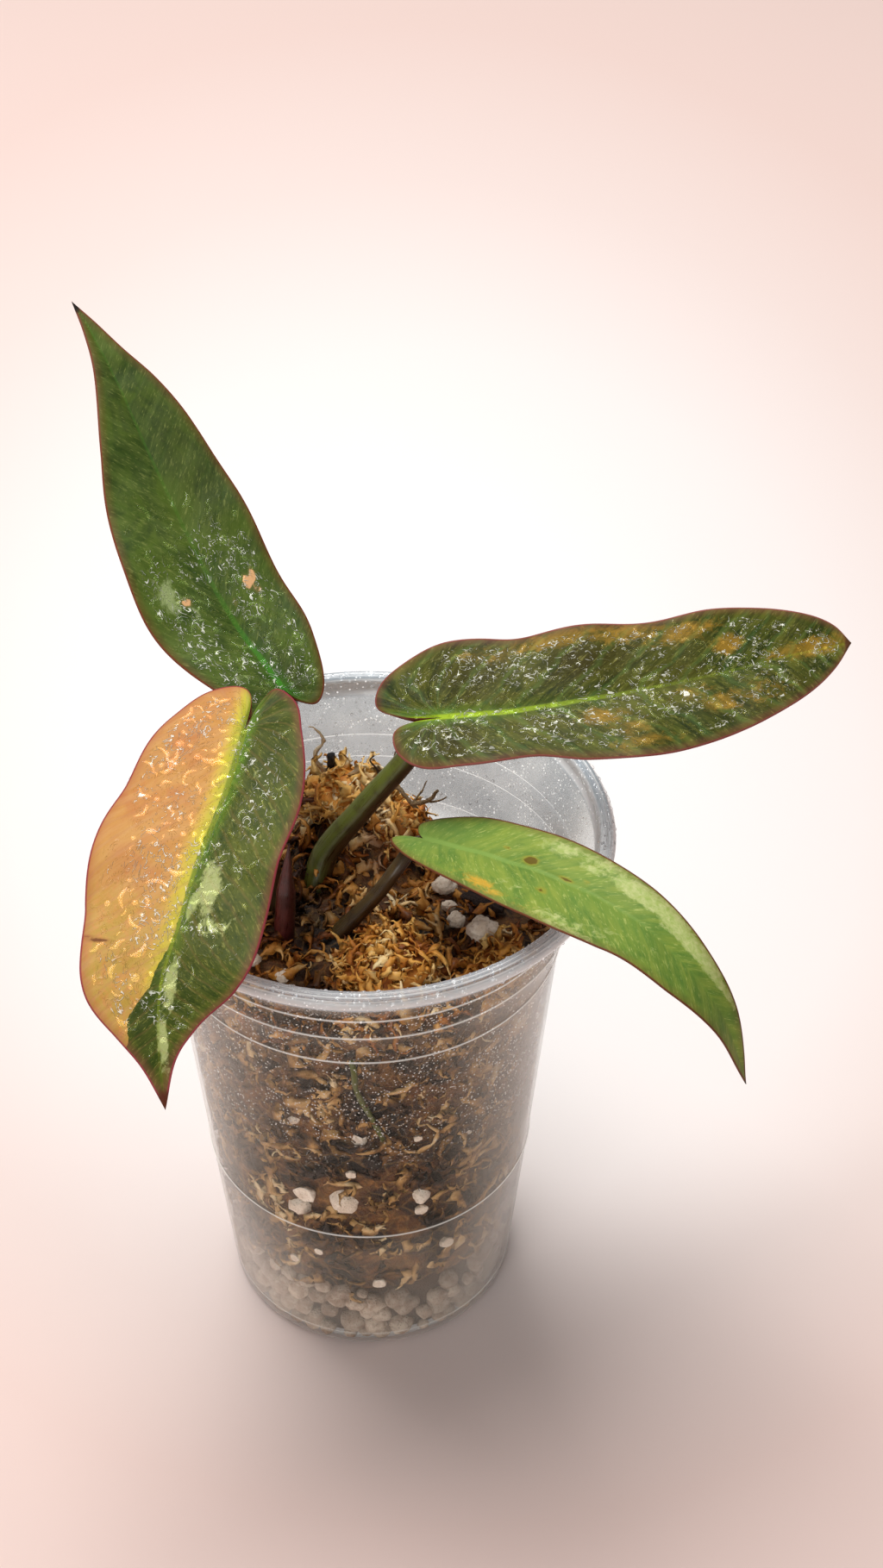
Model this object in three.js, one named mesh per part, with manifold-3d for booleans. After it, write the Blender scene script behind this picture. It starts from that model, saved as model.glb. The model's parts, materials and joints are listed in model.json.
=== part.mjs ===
// Young variegated philodendron growing in a clear plastic cup of sphagnum moss and pumice.
// Millimetres, +Z up. The origin is the centre of the cup's underside, on the surface it stands on.
// Seen from the front, the view runs along +Y with +X to the right.

import * as THREE from 'three';
import { mergeVertices } from 'three/addons/utils/BufferGeometryUtils.js';
import Module from 'manifold-3d';

const wasm = await Module();
wasm.setup();

// Cup
const CUP_HEIGHT = 119.5;
const FOOT_RADIUS = 29.8;
const WALL_TAPER = 0.0859; // growth of the radius for each millimetre of height
const WALL = 0.8;
const CUP_FLOOR = 1;
const CUP_SIDES = 48;
const LOW_RING_HEIGHT = 39.3;
const HIGH_RING_HEIGHT = 93.9;
const RING_RISE = 0.45;
const SHOULDER_HEIGHT = 102.3;
const SHOULDER_RADIUS = 40;
const COLLAR_HEIGHT = 107.4;
const COLLAR_RADIUS = 40.7;
const FLARE_HEIGHT = 115.4;
const FLARE_RADIUS = 44.3;
const LIP_RADIUS = 47.5;
const LIP_WIDTH = 3.4;
const DRAIN_HOLES = 5;
const DRAIN_CIRCLE = 17;
const DRAIN_RADIUS = 2.4;

// Space kept between two pieces that touch
const GAP = 0.3;

// Potting mix
const MIX_BOTTOM = 18.4;
const MIX_LEVEL = 99.5;
const MIX_SIDES = 36;
const MIX_RINGS = 8;
const STRAND_LENGTH = 6.5;
const STRAND_RADIUS = 0.9;
const STRAND_STEPS = 2;
// Humps and hollows of the moss surface: [x, y, reach, height]
const MIX_RELIEF = [
  [0, 20, 13, 9], [7, 12, 9, 5], [4, -24, 12, 4], [22, -16, 13, 2.5],
  [24, 24, 16, -9], [12, 35, 12, -7], [-10, -27, 7, -5], [-25, 1, 11, 1.5],
];

// Leaves
const BLADE_THICKNESS = 0.8;
const BLADE_ROWS = 26;
const BLADE_COLUMNS = [0, 0.34, 0.7, 1];
const VEIN_SLANT = 1.1;
const WAVE_WIDTH = 13;

// Each blade: rib is the midrib from the petiole to the tip. left and right are the two halves of
// the outline, as [distance along the midrib, distance out from it], from the notch round the lobe
// to just short of the tip. facing is where the upper face looks at the base and at the tip.
const BLADES = [
  {
    name: 'blade_1', colour: 0x35502a, fold: 8, cupping: 0.004, wave: 0.6, waves: 3,
    rib: [
      [-14.5, 13.5, 141], [-25, 28, 149], [-34, 44, 159.5], [-40, 55.5, 167.5],
      [-45.5, 66.5, 175], [-50.5, 75, 181], [-54.5, 81, 185],
    ],
    facing: [[0.2, -0.4, 0.9], [0.25, -0.45, 0.85]],
    left: [
      [-4, 1.5], [-6.5, 4.5], [-4.5, 8.5], [2, 11], [11, 14], [22, 16], [34, 15.2],
      [46, 12.8], [58, 9], [68, 5.6], [76, 3], [83, 1.4],
    ],
    right: [
      [-4, 1.2], [-6, 4], [-3, 7.5], [4, 10.5], [12, 12.5], [24, 13], [38, 13],
      [50, 12], [60, 10.3], [69, 7.5], [77, 4.2], [84, 1.9],
    ],
  },
  {
    name: 'blade_2', colour: 0x9a8a4c, fold: 8, cupping: 0.004, wave: 0.6, waves: 3,
    rib: [
      [-21, -2, 143.5], [-24.5, -17.5, 140.5], [-28.5, -29.5, 137.5], [-31.5, -41.5, 134],
      [-34.5, -51.5, 129.5], [-35, -60.5, 124], [-34, -69, 116.5],
    ],
    facing: [[-0.15, -0.3, 0.94], [-0.15, -0.5, 0.85]],
    left: [
      [-7, 1.6], [-10, 4], [-6.5, 8.5], [0, 11], [9, 13.5], [19, 14.6], [30, 14.8],
      [40, 15], [49, 15.2], [56, 13], [62, 7], [67.5, 2.8],
    ],
    right: [
      [-8, 0.6], [-10, 4], [-7, 10], [0, 14.5], [9, 17], [20, 18], [31, 18.2],
      [41, 17.6], [50, 15.3], [57, 12.5], [63, 7.2], [68, 3.2],
    ],
  },
  {
    name: 'blade_3', colour: 0x3c5226, fold: 8, cupping: 0.004, wave: 0.6, waves: 3,
    rib: [
      [15, 8, 137.5], [27.5, 5.5, 140.5], [39.5, 5.5, 142.5], [52.5, 7.5, 143.5],
      [66.5, 11, 144], [80.5, 16, 144], [93, 21, 143],
    ],
    facing: [[-0.05, -0.34, 0.94], [0.05, -0.4, 0.92]],
    left: [
      [-8, 0.8], [-13, 3.5], [-11.5, 9.5], [-4, 14.5], [6, 16], [18, 15.4], [32, 15],
      [44, 13.6], [56, 13], [66, 11.2], [74, 8], [79, 4.4],
    ],
    right: [
      [-6, 0.6], [-9, 3], [-7.5, 8], [-2, 11.5], [7, 11.8], [17, 10.6], [26, 13.2],
      [36, 15], [46, 14], [57, 12.3], [67, 9.2], [75, 5],
    ],
  },
  {
    name: 'blade_4', colour: 0x7c9a4c, fold: 12, cupping: 0, wave: 0, waves: 3,
    rib: [
      [11, -7, 121], [23.5, -18.5, 126], [35, -28, 128.5], [46.5, -38, 128.5],
      [55, -45.5, 124], [62, -49, 114.5], [67.5, -48.5, 97],
    ],
    facing: [[-0.1, -0.1, 1], [0.75, -0.65, 0.1]],
    left: [
      [-2, 1], [-2.5, 3], [2, 5.4], [10, 7.5], [20, 8], [32, 8], [44, 7.2],
      [56, 6], [66, 4.4], [75, 3], [84, 1.5], [88, 0.7],
    ],
    right: [
      [-4, 0.8], [-5.5, 3], [0, 6], [9, 8.5], [20, 10.5], [32, 12], [44, 11.6],
      [56, 8.8], [66, 5.6], [75, 3.2], [84, 1.5], [88, 0.7],
    ],
  },
];

// Leaf stalks: path runs from inside the stem to just short of the blade. radii are at the
// base, halfway up and at the blade.
const PETIOLE_SIDES = 10;
const PETIOLE_STEPS = 12;
const PETIOLES = [
  {
    name: 'petiole_1', blade: 'blade_1', colour: 0x5a4a2c, radii: [2.2, 1.9, 1.8],
    path: [[-14, -2.5, 89], [-17, -1.5, 98], [-18, 0.5, 112], [-17, 4.5, 127]],
  },
  {
    name: 'petiole_2', blade: 'blade_2', colour: 0x5a4430, radii: [2.2, 1.9, 1.8],
    path: [[-16, -5, 88], [-20.5, -6.8, 97], [-22, -6, 112], [-21.5, 1, 130], [-20.5, 3.5, 138]],
  },
  {
    name: 'petiole_3', blade: 'blade_3', colour: 0x56692c, radii: [2.9, 2.3, 2],
    path: [[-12.5, -1, 88], [-10, 3, 96], [-7.5, 6.5, 105.6], [-0.3, 7.5, 115.9], [7.5, 8.3, 126.2]],
  },
  {
    name: 'petiole_4', blade: 'blade_4', colour: 0x5e5a32, radii: [2.2, 1.5, 1.4],
    path: [[-11, -6, 88], [-6.5, -9, 97.5], [-2.6, -9.5, 102.9], [2.7, -9, 109.6], [6, -8.2, 114.5]],
  },
];

// Stem, its roots and the new shoot
const STEM_PATH = [[-11, -2, 60], [-13, -3, 78], [-14, -4, 92]];
const STEM_RADIUS = 4.8;
const ROOT_RADIUS = 1.1;
const ROOTS = [
  [[-13, -4, 84], [-9, -20, 91], [-3.4, -34.3, 92], [-2.3, -34, 84], [0.6, -33.2, 75], [4, -31, 62]],
  [[-11, -2, 64], [2, -6, 54], [12, -4, 42], [16, 4, 27]],
  [[-11, -2, 64], [-16, 8, 52], [-14, 16, 38], [-6, 20, 25]],
];
const SHOOT_PATH = [[-13.5, -7, 88], [-15.5, -9.5, 96], [-14.9, -8.5, 108], [-13.8, -7, 120.4]];
const SHOOT_RADIUS = 1.9;

// Pumice: [x, y, z, half width, half depth, half height]
const SURFACE_PUMICE = [
  [22, -14, 104, 3.3, 2.6, 2.4], [17, -9.5, 102.5, 1.9, 1.7, 1.6], [15.5, 1.5, 101.6, 2.4, 2.1, 2],
  [16, -4, 101, 1.5, 1.3, 1.3], [-21, -17, 100.5, 1.5, 1.4, 1.3], [-15.5, -20.5, 99.6, 1.5, 1.3, 1.3],
];
const WALL_PUMICE = [
  [-5.2, -30.3, 48, 3.3, 2.6, 4], [-1.9, -32.4, 68.3, 2, 1.9, 2.1], [-14, -27.2, 43.5, 2.8, 2.4, 2.6],
  [9.6, -29.8, 48, 1.8, 1.9, 2.5], [-14.4, -29.9, 71.3, 1.4, 1.5, 1.5],
];
const DRAINAGE_TOP = 18;
const DRAINAGE_LUMPS = 22;
const DRAINAGE_LUMP_RADIUS = 5.4;

// Bits lying on the moss
const BARK_CHIP = { at: [22.5, -3.5, 101.2], size: [8, 3, 1.6], turn: -0.5 };
const STUB_PATH = [[-6.4, 21, 104], [-6.2, 23.5, 110], [-6, 24.5, 114.5]];
const STUB_RADIUS = 0.9;
const TWIG_PATH = [[2, 19, 108], [6.2, 17, 113.4], [9.5, 14, 111.5], [13, 11, 109]];
const TWIG_BRANCH = [[9.5, 14, 111.5], [12.5, 13, 113], [14.5, 12.5, 116]];
const TWIG_RADIUS = 0.55;

// Clumps of looser moss on the surface: cores as [x, y, z, half width, half depth, half height]
const MOSS_CLUMPS = [
  { name: 'moss_clump_front', colour: 0xa87432, strands: 20, seed: 11, cores: [[4, -24, 105, 10, 8, 4.5]] },
  {
    name: 'moss_clump_back', colour: 0x8f5a2a, strands: 22, seed: 23,
    cores: [[-2, 20, 109, 8.5, 8, 4.5], [6.5, 14, 107, 6, 6, 4]],
  },
  { name: 'moss_clump_right', colour: 0x9a6a34, strands: 10, seed: 37, cores: [[25, -22, 102.5, 6, 5, 3]] },
];
const BED_STRANDS = 28;
const CLUMP_CLEARANCE = 11;
const WALL_CLEARANCE = 7;

function seeded(seed) {
  let state = seed;
  return () => {
    state = (state + 0x6d2b79f5) | 0;
    let mixed = Math.imul(state ^ (state >>> 15), 1 | state);
    mixed = (mixed + Math.imul(mixed ^ (mixed >>> 7), 61 | mixed)) ^ mixed;
    return ((mixed ^ (mixed >>> 14)) >>> 0) / 4294967296;
  };
}

function vectors(points) {
  return points.map((point) => new THREE.Vector3(...point));
}

function smoothCurve(points) {
  return new THREE.CatmullRomCurve3(vectors(points), false, 'catmullrom', 0.5);
}

// Joins shared corners and drops the empty triangles at poles, so that the mesh is closed.
function solid(geometry) {
  const bare = geometry.clone();
  bare.deleteAttribute('normal');
  bare.deleteAttribute('uv');
  const merged = mergeVertices(bare, 1e-4);
  const triangles = [];
  for (let i = 0; i < merged.index.count; i += 3) {
    const [a, b, c] = [0, 1, 2].map((k) => merged.index.getX(i + k));
    if (a !== b && b !== c && c !== a) triangles.push(a, b, c);
  }
  return new wasm.Manifold(new wasm.Mesh({
    numProp: 3,
    vertProperties: new Float32Array(merged.attributes.position.array),
    triVerts: new Uint32Array(triangles),
  }));
}

function geometryOf(body) {
  const mesh = body.getMesh();
  const geometry = new THREE.BufferGeometry();
  geometry.setAttribute('position', new THREE.BufferAttribute(mesh.vertProperties, 3));
  geometry.setIndex(new THREE.BufferAttribute(mesh.triVerts, 1));
  return geometry;
}

function largest(body) {
  return body.decompose().reduce((best, part) => (part.volume() > best.volume() ? part : best));
}

function joined(bodies) {
  return bodies.reduce((whole, part) => whole.add(part));
}

// A closed profile of [radius, height] turned about the Z axis
function turned(profile, sides) {
  const points = profile.map(([radius, height]) => new THREE.Vector2(radius, height));
  return new THREE.LatheGeometry(points, sides).rotateX(Math.PI / 2);
}

// A capped tube bent along a curve, with its own radius at each height
function tube(points, radiusAt, sides, steps) {
  const curve = smoothCurve(points);
  const frames = curve.computeFrenetFrames(steps);
  const shape = new THREE.CylinderGeometry(1, 1, 1, sides, steps);
  const position = shape.attributes.position;
  for (let i = 0; i < position.count; i += 1) {
    const step = Math.round((position.getY(i) + 0.5) * steps);
    const radius = radiusAt(step / steps);
    const at = curve.getPointAt(step / steps)
      .addScaledVector(frames.normals[step], position.getX(i) * radius)
      .addScaledVector(frames.binormals[step], -position.getZ(i) * radius);
    position.setXYZ(i, at.x, at.y, at.z);
  }
  return shape;
}

function blend3(values, share) {
  const [start, middle, end] = values;
  const half = share * 2;
  return half < 1 ? start + (middle - start) * half : middle + (end - middle) * (half - 1);
}

// A rounded, knobbly stone
function lump([x, y, z, width, depth, height], seed, detail = 1, grow = 0) {
  const random = seeded(seed);
  const shape = new THREE.IcosahedronGeometry(1, detail);
  shape.deleteAttribute('normal');
  shape.deleteAttribute('uv');
  const stone = mergeVertices(shape, 1e-4);
  const position = stone.attributes.position;
  for (let i = 0; i < position.count; i += 1) {
    const bump = 0.88 + 0.2 * random();
    position.setXYZ(
      i,
      x + position.getX(i) * (width * bump + grow),
      y + position.getY(i) * (depth * bump + grow),
      z + position.getZ(i) * (height * bump + grow),
    );
  }
  return solid(stone);
}

function wallRadius(height) {
  return FOOT_RADIUS + WALL_TAPER * height;
}

function ridge(height) {
  const reach = 2 * RING_RISE;
  return [
    [wallRadius(height - reach), height - reach],
    [wallRadius(height) + RING_RISE, height],
    [wallRadius(height + reach), height + reach],
  ];
}

function cupSolid() {
  const lipTop = CUP_HEIGHT;
  const lipMiddle = LIP_RADIUS - LIP_WIDTH / 2;
  const outside = [
    [0, 0], [FOOT_RADIUS - 1.8, 0], [FOOT_RADIUS - 0.4, 0.6], [wallRadius(2), 2],
    ...ridge(LOW_RING_HEIGHT),
    ...ridge(HIGH_RING_HEIGHT),
    [SHOULDER_RADIUS - 0.5, SHOULDER_HEIGHT - 1], [SHOULDER_RADIUS + RING_RISE, SHOULDER_HEIGHT],
    [SHOULDER_RADIUS, SHOULDER_HEIGHT + 1],
    [COLLAR_RADIUS - 0.3, COLLAR_HEIGHT - 1], [COLLAR_RADIUS + RING_RISE, COLLAR_HEIGHT],
    [COLLAR_RADIUS + 0.3, COLLAR_HEIGHT + 1],
    [FLARE_RADIUS, FLARE_HEIGHT],
    [LIP_RADIUS - 0.5, FLARE_HEIGHT + 0.5], [LIP_RADIUS, lipTop - 2],
    [LIP_RADIUS - 0.5, lipTop - 0.6], [lipMiddle, lipTop],
    [LIP_RADIUS - LIP_WIDTH + 0.5, lipTop - 0.6], [LIP_RADIUS - LIP_WIDTH, lipTop - 2],
  ];
  const inside = [
    [FLARE_RADIUS - WALL, FLARE_HEIGHT + 0.2],
    [COLLAR_RADIUS - WALL, COLLAR_HEIGHT + 0.4],
    [SHOULDER_RADIUS - WALL, SHOULDER_HEIGHT + 0.4],
    [wallRadius(HIGH_RING_HEIGHT) - WALL, HIGH_RING_HEIGHT + 0.6],
    [wallRadius(2.4) - WALL, 2.4],
    [FOOT_RADIUS - WALL - 1.4, CUP_FLOOR],
    [0, CUP_FLOOR],
  ];
  let cup = solid(turned([...outside, ...inside], CUP_SIDES));
  for (let i = 0; i < DRAIN_HOLES; i += 1) {
    const angle = (i / DRAIN_HOLES) * 2 * Math.PI;
    const drill = new THREE.CylinderGeometry(DRAIN_RADIUS, DRAIN_RADIUS, 4 * CUP_FLOOR, 10)
      .rotateX(Math.PI / 2)
      .translate(DRAIN_CIRCLE * Math.cos(angle), DRAIN_CIRCLE * Math.sin(angle), 0);
    cup = cup.subtract(solid(drill));
  }
  return cup;
}

// The space inside the cup, from one height to another, at some distance from the wall
function insideCup(bottom, top, distance = GAP) {
  const reach = (height) => wallRadius(height) - WALL - distance;
  return solid(turned([[0, bottom], [reach(bottom), bottom], [reach(top), top], [0, top]], MIX_SIDES));
}

function surfaceHeight(x, y) {
  return MIX_RELIEF.reduce((height, [cx, cy, reach, rise]) => {
    const away = ((x - cx) ** 2 + (y - cy) ** 2) / reach ** 2;
    return height + rise * Math.exp(-away);
  }, MIX_LEVEL);
}

function bedSolid(raise) {
  const bottomRadius = wallRadius(MIX_BOTTOM) - WALL - GAP;
  const topRadius = wallRadius(MIX_LEVEL) - WALL - GAP;
  const profile = [[0, MIX_BOTTOM], [bottomRadius, MIX_BOTTOM]];
  for (let ring = MIX_RINGS; ring >= 0; ring -= 1) profile.push([(topRadius * ring) / MIX_RINGS, MIX_LEVEL]);
  const shape = turned(profile, MIX_SIDES);
  const position = shape.attributes.position;
  for (let i = 0; i < position.count; i += 1) {
    const [x, y, z] = [position.getX(i), position.getY(i), position.getZ(i)];
    if (z < MIX_LEVEL - 1) continue;
    const height = surfaceHeight(x, y);
    const atWall = Math.hypot(x, y) > topRadius - 1;
    const inward = atWall ? (topRadius + WALL_TAPER * Math.min(0, height - MIX_LEVEL)) / topRadius : 1;
    position.setXYZ(i, x * inward, y * inward, height + raise);
  }
  return solid(shape);
}

// A short curled strand of moss, rooted below the surface it grows from
function strand(random, root, outward) {
  const side = new THREE.Vector3(random() - 0.5, random() - 0.5, 0.3 * random()).normalize();
  const length = STRAND_LENGTH * (0.7 + 0.6 * random());
  const start = root.clone().addScaledVector(outward, -1.4);
  const middle = root.clone().addScaledVector(outward, 0.24 * length).addScaledVector(side, 0.3 * length);
  const end = middle.clone().addScaledVector(side, 0.55 * length).addScaledVector(outward, -0.08 * length);
  const points = [start, middle, end].map((point) => point.toArray());
  return solid(tube(points, (share) => STRAND_RADIUS * (1 - 0.45 * share), 3, STRAND_STEPS));
}

function clumpSolid(clump) {
  const random = seeded(clump.seed);
  const cores = clump.cores.map((core, index) => lump(core, clump.seed + index, 1));
  const strands = [];
  for (let i = 0; i < clump.strands; i += 1) {
    const [x, y, z, width, depth, height] = clump.cores[i % clump.cores.length];
    const angle = 2 * Math.PI * random();
    const tilt = 0.15 + 1.1 * random();
    const outward = new THREE.Vector3(
      Math.sin(tilt) * Math.cos(angle), Math.sin(tilt) * Math.sin(angle), Math.cos(tilt),
    );
    const root = new THREE.Vector3(x + outward.x * width, y + outward.y * depth, z + outward.z * height)
      .addScaledVector(outward, -0.6);
    strands.push(strand(random, root, outward));
  }
  return joined([...cores, ...strands]);
}

// Strands over the rest of the moss surface, clear of the clumps and of the cup's wall
function bedStrands() {
  const random = seeded(5);
  const reach = wallRadius(MIX_LEVEL) - WALL - GAP - WALL_CLEARANCE;
  const strands = [];
  while (strands.length < BED_STRANDS) {
    const angle = 2 * Math.PI * random();
    const out = reach * Math.sqrt(random());
    const x = out * Math.cos(angle);
    const y = out * Math.sin(angle);
    const clear = MOSS_CLUMPS.every((clump) => clump.cores.every(
      ([cx, cy, , width]) => Math.hypot(x - cx, y - cy) > width + CLUMP_CLEARANCE,
    ));
    const onStone = SURFACE_PUMICE.some(([cx, cy, , width]) => Math.hypot(x - cx, y - cy) < width + 3);
    if (clear && !onStone) {
      strands.push(strand(random, new THREE.Vector3(x, y, surfaceHeight(x, y)), new THREE.Vector3(0, 0, 1)));
    }
  }
  return joined(strands);
}

function drainageSolid() {
  const random = seeded(71);
  const bottom = CUP_FLOOR + GAP;
  const ring = wallRadius(bottom) - WALL - DRAINAGE_LUMP_RADIUS;
  const parts = [solid(turned([[0, bottom + 1], [ring, bottom + 1], [ring, DRAINAGE_TOP - 3], [0, DRAINAGE_TOP - 3]], 16))];
  for (let i = 0; i < DRAINAGE_LUMPS; i += 1) {
    const angle = (i / DRAINAGE_LUMPS) * 4 * Math.PI + 0.3 * random();
    const upper = i >= DRAINAGE_LUMPS / 2;
    const radius = DRAINAGE_LUMP_RADIUS * (0.85 + 0.3 * random());
    const height = upper ? DRAINAGE_TOP - radius : bottom + radius;
    const at = [ring * Math.cos(angle), ring * Math.sin(angle), height, radius, radius, radius];
    parts.push(lump(at, 200 + i, 0));
  }
  return largest(joined(parts).intersect(insideCup(bottom, DRAINAGE_TOP)));
}

function stemSolid(grow) {
  const stem = solid(tube(STEM_PATH, (share) => (STEM_RADIUS + grow) * (1 - 0.25 * share ** 4), 12, 8));
  const roots = ROOTS.map((path) => solid(tube(path, (share) => (ROOT_RADIUS + grow) * (1.25 - 0.45 * share), 6, 8)));
  return joined([stem, ...roots]);
}

// Where the midrib starts, which way it runs there and which way the blade faces there
function bladeBase(blade) {
  const rib = smoothCurve(blade.rib);
  const along = rib.getTangentAt(0);
  const facing = new THREE.Vector3(...blade.facing[0]);
  facing.addScaledVector(along, -facing.dot(along)).normalize();
  return { start: rib.getPointAt(0), along, facing };
}

function petioleSolid(petiole, grow) {
  const blade = BLADES.find(({ name }) => name === petiole.blade);
  const { start, along, facing } = bladeBase(blade);
  const under = BLADE_THICKNESS / 2 + GAP + petiole.radii[2];
  const end = start.clone().addScaledVector(facing, -under);
  const points = [
    ...petiole.path,
    end.clone().addScaledVector(along, -2.5).addScaledVector(facing, -0.6).toArray(),
    end.clone().addScaledVector(along, 3).toArray(),
  ];
  return solid(tube(points, (share) => blend3(petiole.radii, share) + grow, PETIOLE_SIDES, PETIOLE_STEPS));
}

function shootSolid(grow) {
  const width = (share) => SHOOT_RADIUS * Math.min(1, 3.2 * (1 - share)) * (1.1 - 0.35 * share) + 0.15;
  return solid(tube(SHOOT_PATH, (share) => width(share) + grow, 8, 10));
}

// A heart-based blade: the midrib bends in space, the two halves fold up from it, and both
// faces share one pattern of triangles.
function bladeSolid(blade) {
  const rib = smoothCurve(blade.rib);
  const length = rib.getLength();
  const [facingBase, facingTip] = vectors(blade.facing);
  const outline = (side) => smoothCurve([[0, 0], ...blade[side], [length, 0]].map(([a, b]) => [a, b, 0]));
  const halves = { left: outline('left'), right: outline('right') };
  const fold = THREE.MathUtils.degToRad(blade.fold);

  const place = (along, out, side, lift) => {
    const share = THREE.MathUtils.clamp(along / length, 0, 1);
    const run = rib.getTangentAt(share);
    const up = facingBase.clone().lerp(facingTip, share);
    up.addScaledVector(run, -up.dot(run)).normalize();
    const across = new THREE.Vector3().crossVectors(run, up).multiplyScalar(side === 'left' ? -1 : 1);
    const phase = side === 'left' ? 1.3 : 0;
    const ripple = blade.wave * Math.sin((2 * Math.PI * blade.waves * along) / length + phase)
      * Math.min(1.3, out / WAVE_WIDTH) ** 2;
    const rise = out * Math.sin(fold) - blade.cupping * out * out + ripple + lift;
    return rib.getPointAt(share)
      .addScaledVector(run, along - share * length)
      .addScaledVector(across, out * Math.cos(fold))
      .addScaledVector(up, rise);
  };

  const columns = BLADE_COLUMNS.length - 1;
  const rows = [];
  for (let row = 0; row <= BLADE_ROWS; row += 1) {
    const edges = { left: halves.left.getPoint(row / BLADE_ROWS), right: halves.right.getPoint(row / BLADE_ROWS) };
    const middle = THREE.MathUtils.clamp((edges.left.x + edges.right.x) / 2 / length, 0, 1);
    rows.push({ edges, foot: length * middle ** VEIN_SLANT });
  }

  const positions = [];
  const numbers = new Map();
  const corner = (row, column, side, face) => {
    const { edges, foot } = rows[row];
    const atRib = column === 0 || row === 0 || row === BLADE_ROWS;
    const key = atRib ? `rib ${foot} ${face}` : `${side} ${row} ${column} ${face}`;
    if (!numbers.has(key)) {
      const share = atRib ? 0 : BLADE_COLUMNS[column];
      const along = foot + (edges[side].x - foot) * share;
      const point = place(along, edges[side].y * share, side, (face * BLADE_THICKNESS) / 2);
      numbers.set(key, positions.length / 3);
      positions.push(point.x, point.y, point.z);
    }
    return numbers.get(key);
  };

  const triangles = [];
  const addTriangle = (a, b, c, flip) => {
    if (a === b || b === c || c === a) return;
    triangles.push(...(flip ? [a, c, b] : [a, b, c]));
  };
  for (const side of ['left', 'right']) {
    const mirrored = side === 'left';
    for (let row = 0; row < BLADE_ROWS; row += 1) {
      for (const face of [1, -1]) {
        const flip = mirrored !== (face < 0);
        for (let column = 0; column < columns; column += 1) {
          const near = corner(row, column, side, face);
          const nearOut = corner(row, column + 1, side, face);
          const farOut = corner(row + 1, column + 1, side, face);
          const far = corner(row + 1, column, side, face);
          addTriangle(near, nearOut, farOut, flip);
          addTriangle(near, farOut, far, flip);
        }
      }
      const top = [corner(row, columns, side, 1), corner(row + 1, columns, side, 1)];
      const bottom = [corner(row, columns, side, -1), corner(row + 1, columns, side, -1)];
      addTriangle(bottom[0], bottom[1], top[1], mirrored);
      addTriangle(bottom[0], top[1], top[0], mirrored);
    }
  }
  const geometry = new THREE.BufferGeometry();
  geometry.setAttribute('position', new THREE.Float32BufferAttribute(positions, 3));
  geometry.setIndex(triangles);
  return solid(geometry);
}

function barkSolid(grow) {
  const [length, width, height] = BARK_CHIP.size;
  const chip = new THREE.BoxGeometry(length + 2 * grow, width + 2 * grow, height + 2 * grow, 4, 1, 1);
  const position = chip.attributes.position;
  for (let i = 0; i < position.count; i += 1) {
    const taper = 1 - 0.5 * Math.abs(position.getX(i) / length) ** 2;
    position.setXYZ(i, position.getX(i), position.getY(i) * taper, position.getZ(i) * taper);
  }
  return solid(chip.rotateZ(BARK_CHIP.turn).translate(...BARK_CHIP.at));
}

function twigSolid(grow) {
  const taper = (share) => TWIG_RADIUS * (1 - 0.3 * share) + grow;
  return solid(tube(TWIG_PATH, taper, 5, 6)).add(solid(tube(TWIG_BRANCH, taper, 5, 4)));
}

function stubSolid(grow) {
  return solid(tube(STUB_PATH, () => STUB_RADIUS + grow, 7, 4));
}

const plant = new THREE.Group();

function addPiece(name, body, colour, roughness = 0.8) {
  const material = new THREE.MeshStandardMaterial({ color: colour, roughness, metalness: 0 });
  const mesh = new THREE.Mesh(geometryOf(body), material);
  mesh.name = name;
  plant.add(mesh);
}

const MOSS_BROWN = 0x6a4426;
const PUMICE_WHITE = 0xcfc6bd;
const STEM_RED = 0x4a2420;
const BARK_BROWN = 0x3a2018;

const stem = stemSolid(0);
const surfaceStones = SURFACE_PUMICE.map((stone, index) => lump(stone, 300 + index));
const fatStones = SURFACE_PUMICE.map((stone, index) => lump(stone, 300 + index, 1, GAP));
const stalks = [...PETIOLES.map((petiole) => petioleSolid(petiole, GAP)), shootSolid(GAP)];
const bits = [stubSolid(GAP), twigSolid(GAP), barkSolid(GAP)];
const holes = joined([stemSolid(GAP), ...stalks, ...fatStones, ...bits]);

const mixSpace = insideCup(MIX_BOTTOM - 1, CUP_HEIGHT);
const clumpSpace = insideCup(MIX_BOTTOM - 1, CUP_HEIGHT, 4 * GAP);
const raisedBed = bedSolid(GAP);
const clumps = MOSS_CLUMPS.map((clump) => largest(
  clumpSolid(clump).subtract(raisedBed).subtract(holes).intersect(clumpSpace),
));

const wallStones = WALL_PUMICE.map((stone, index) => lump(stone, 400 + index).intersect(mixSpace));
const wallSockets = joined(WALL_PUMICE.map((stone, index) => lump(stone, 400 + index, 1, GAP)));
const bed = largest(bedSolid(0).add(bedStrands()).subtract(holes).subtract(wallSockets));

addPiece('cup', cupSolid(), 0xe4e8ea, 0.25);
addPiece('drainage_pumice', drainageSolid(), PUMICE_WHITE, 0.9);
addPiece('moss_bed', bed, MOSS_BROWN, 0.95);
MOSS_CLUMPS.forEach((clump, index) => addPiece(clump.name, clumps[index], clump.colour, 0.95));
surfaceStones.forEach((stone, index) => addPiece(`pumice_surface_${index + 1}`, stone, PUMICE_WHITE, 0.9));
wallStones.forEach((stone, index) => addPiece(`pumice_wall_${index + 1}`, stone, PUMICE_WHITE, 0.9));
addPiece('bark_chip', barkSolid(0), BARK_BROWN, 0.9);
addPiece('stem_and_roots', stem, STEM_RED, 0.6);
PETIOLES.forEach((petiole) => {
  addPiece(petiole.name, largest(petioleSolid(petiole, 0).subtract(stemSolid(GAP))), petiole.colour, 0.4);
});
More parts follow.
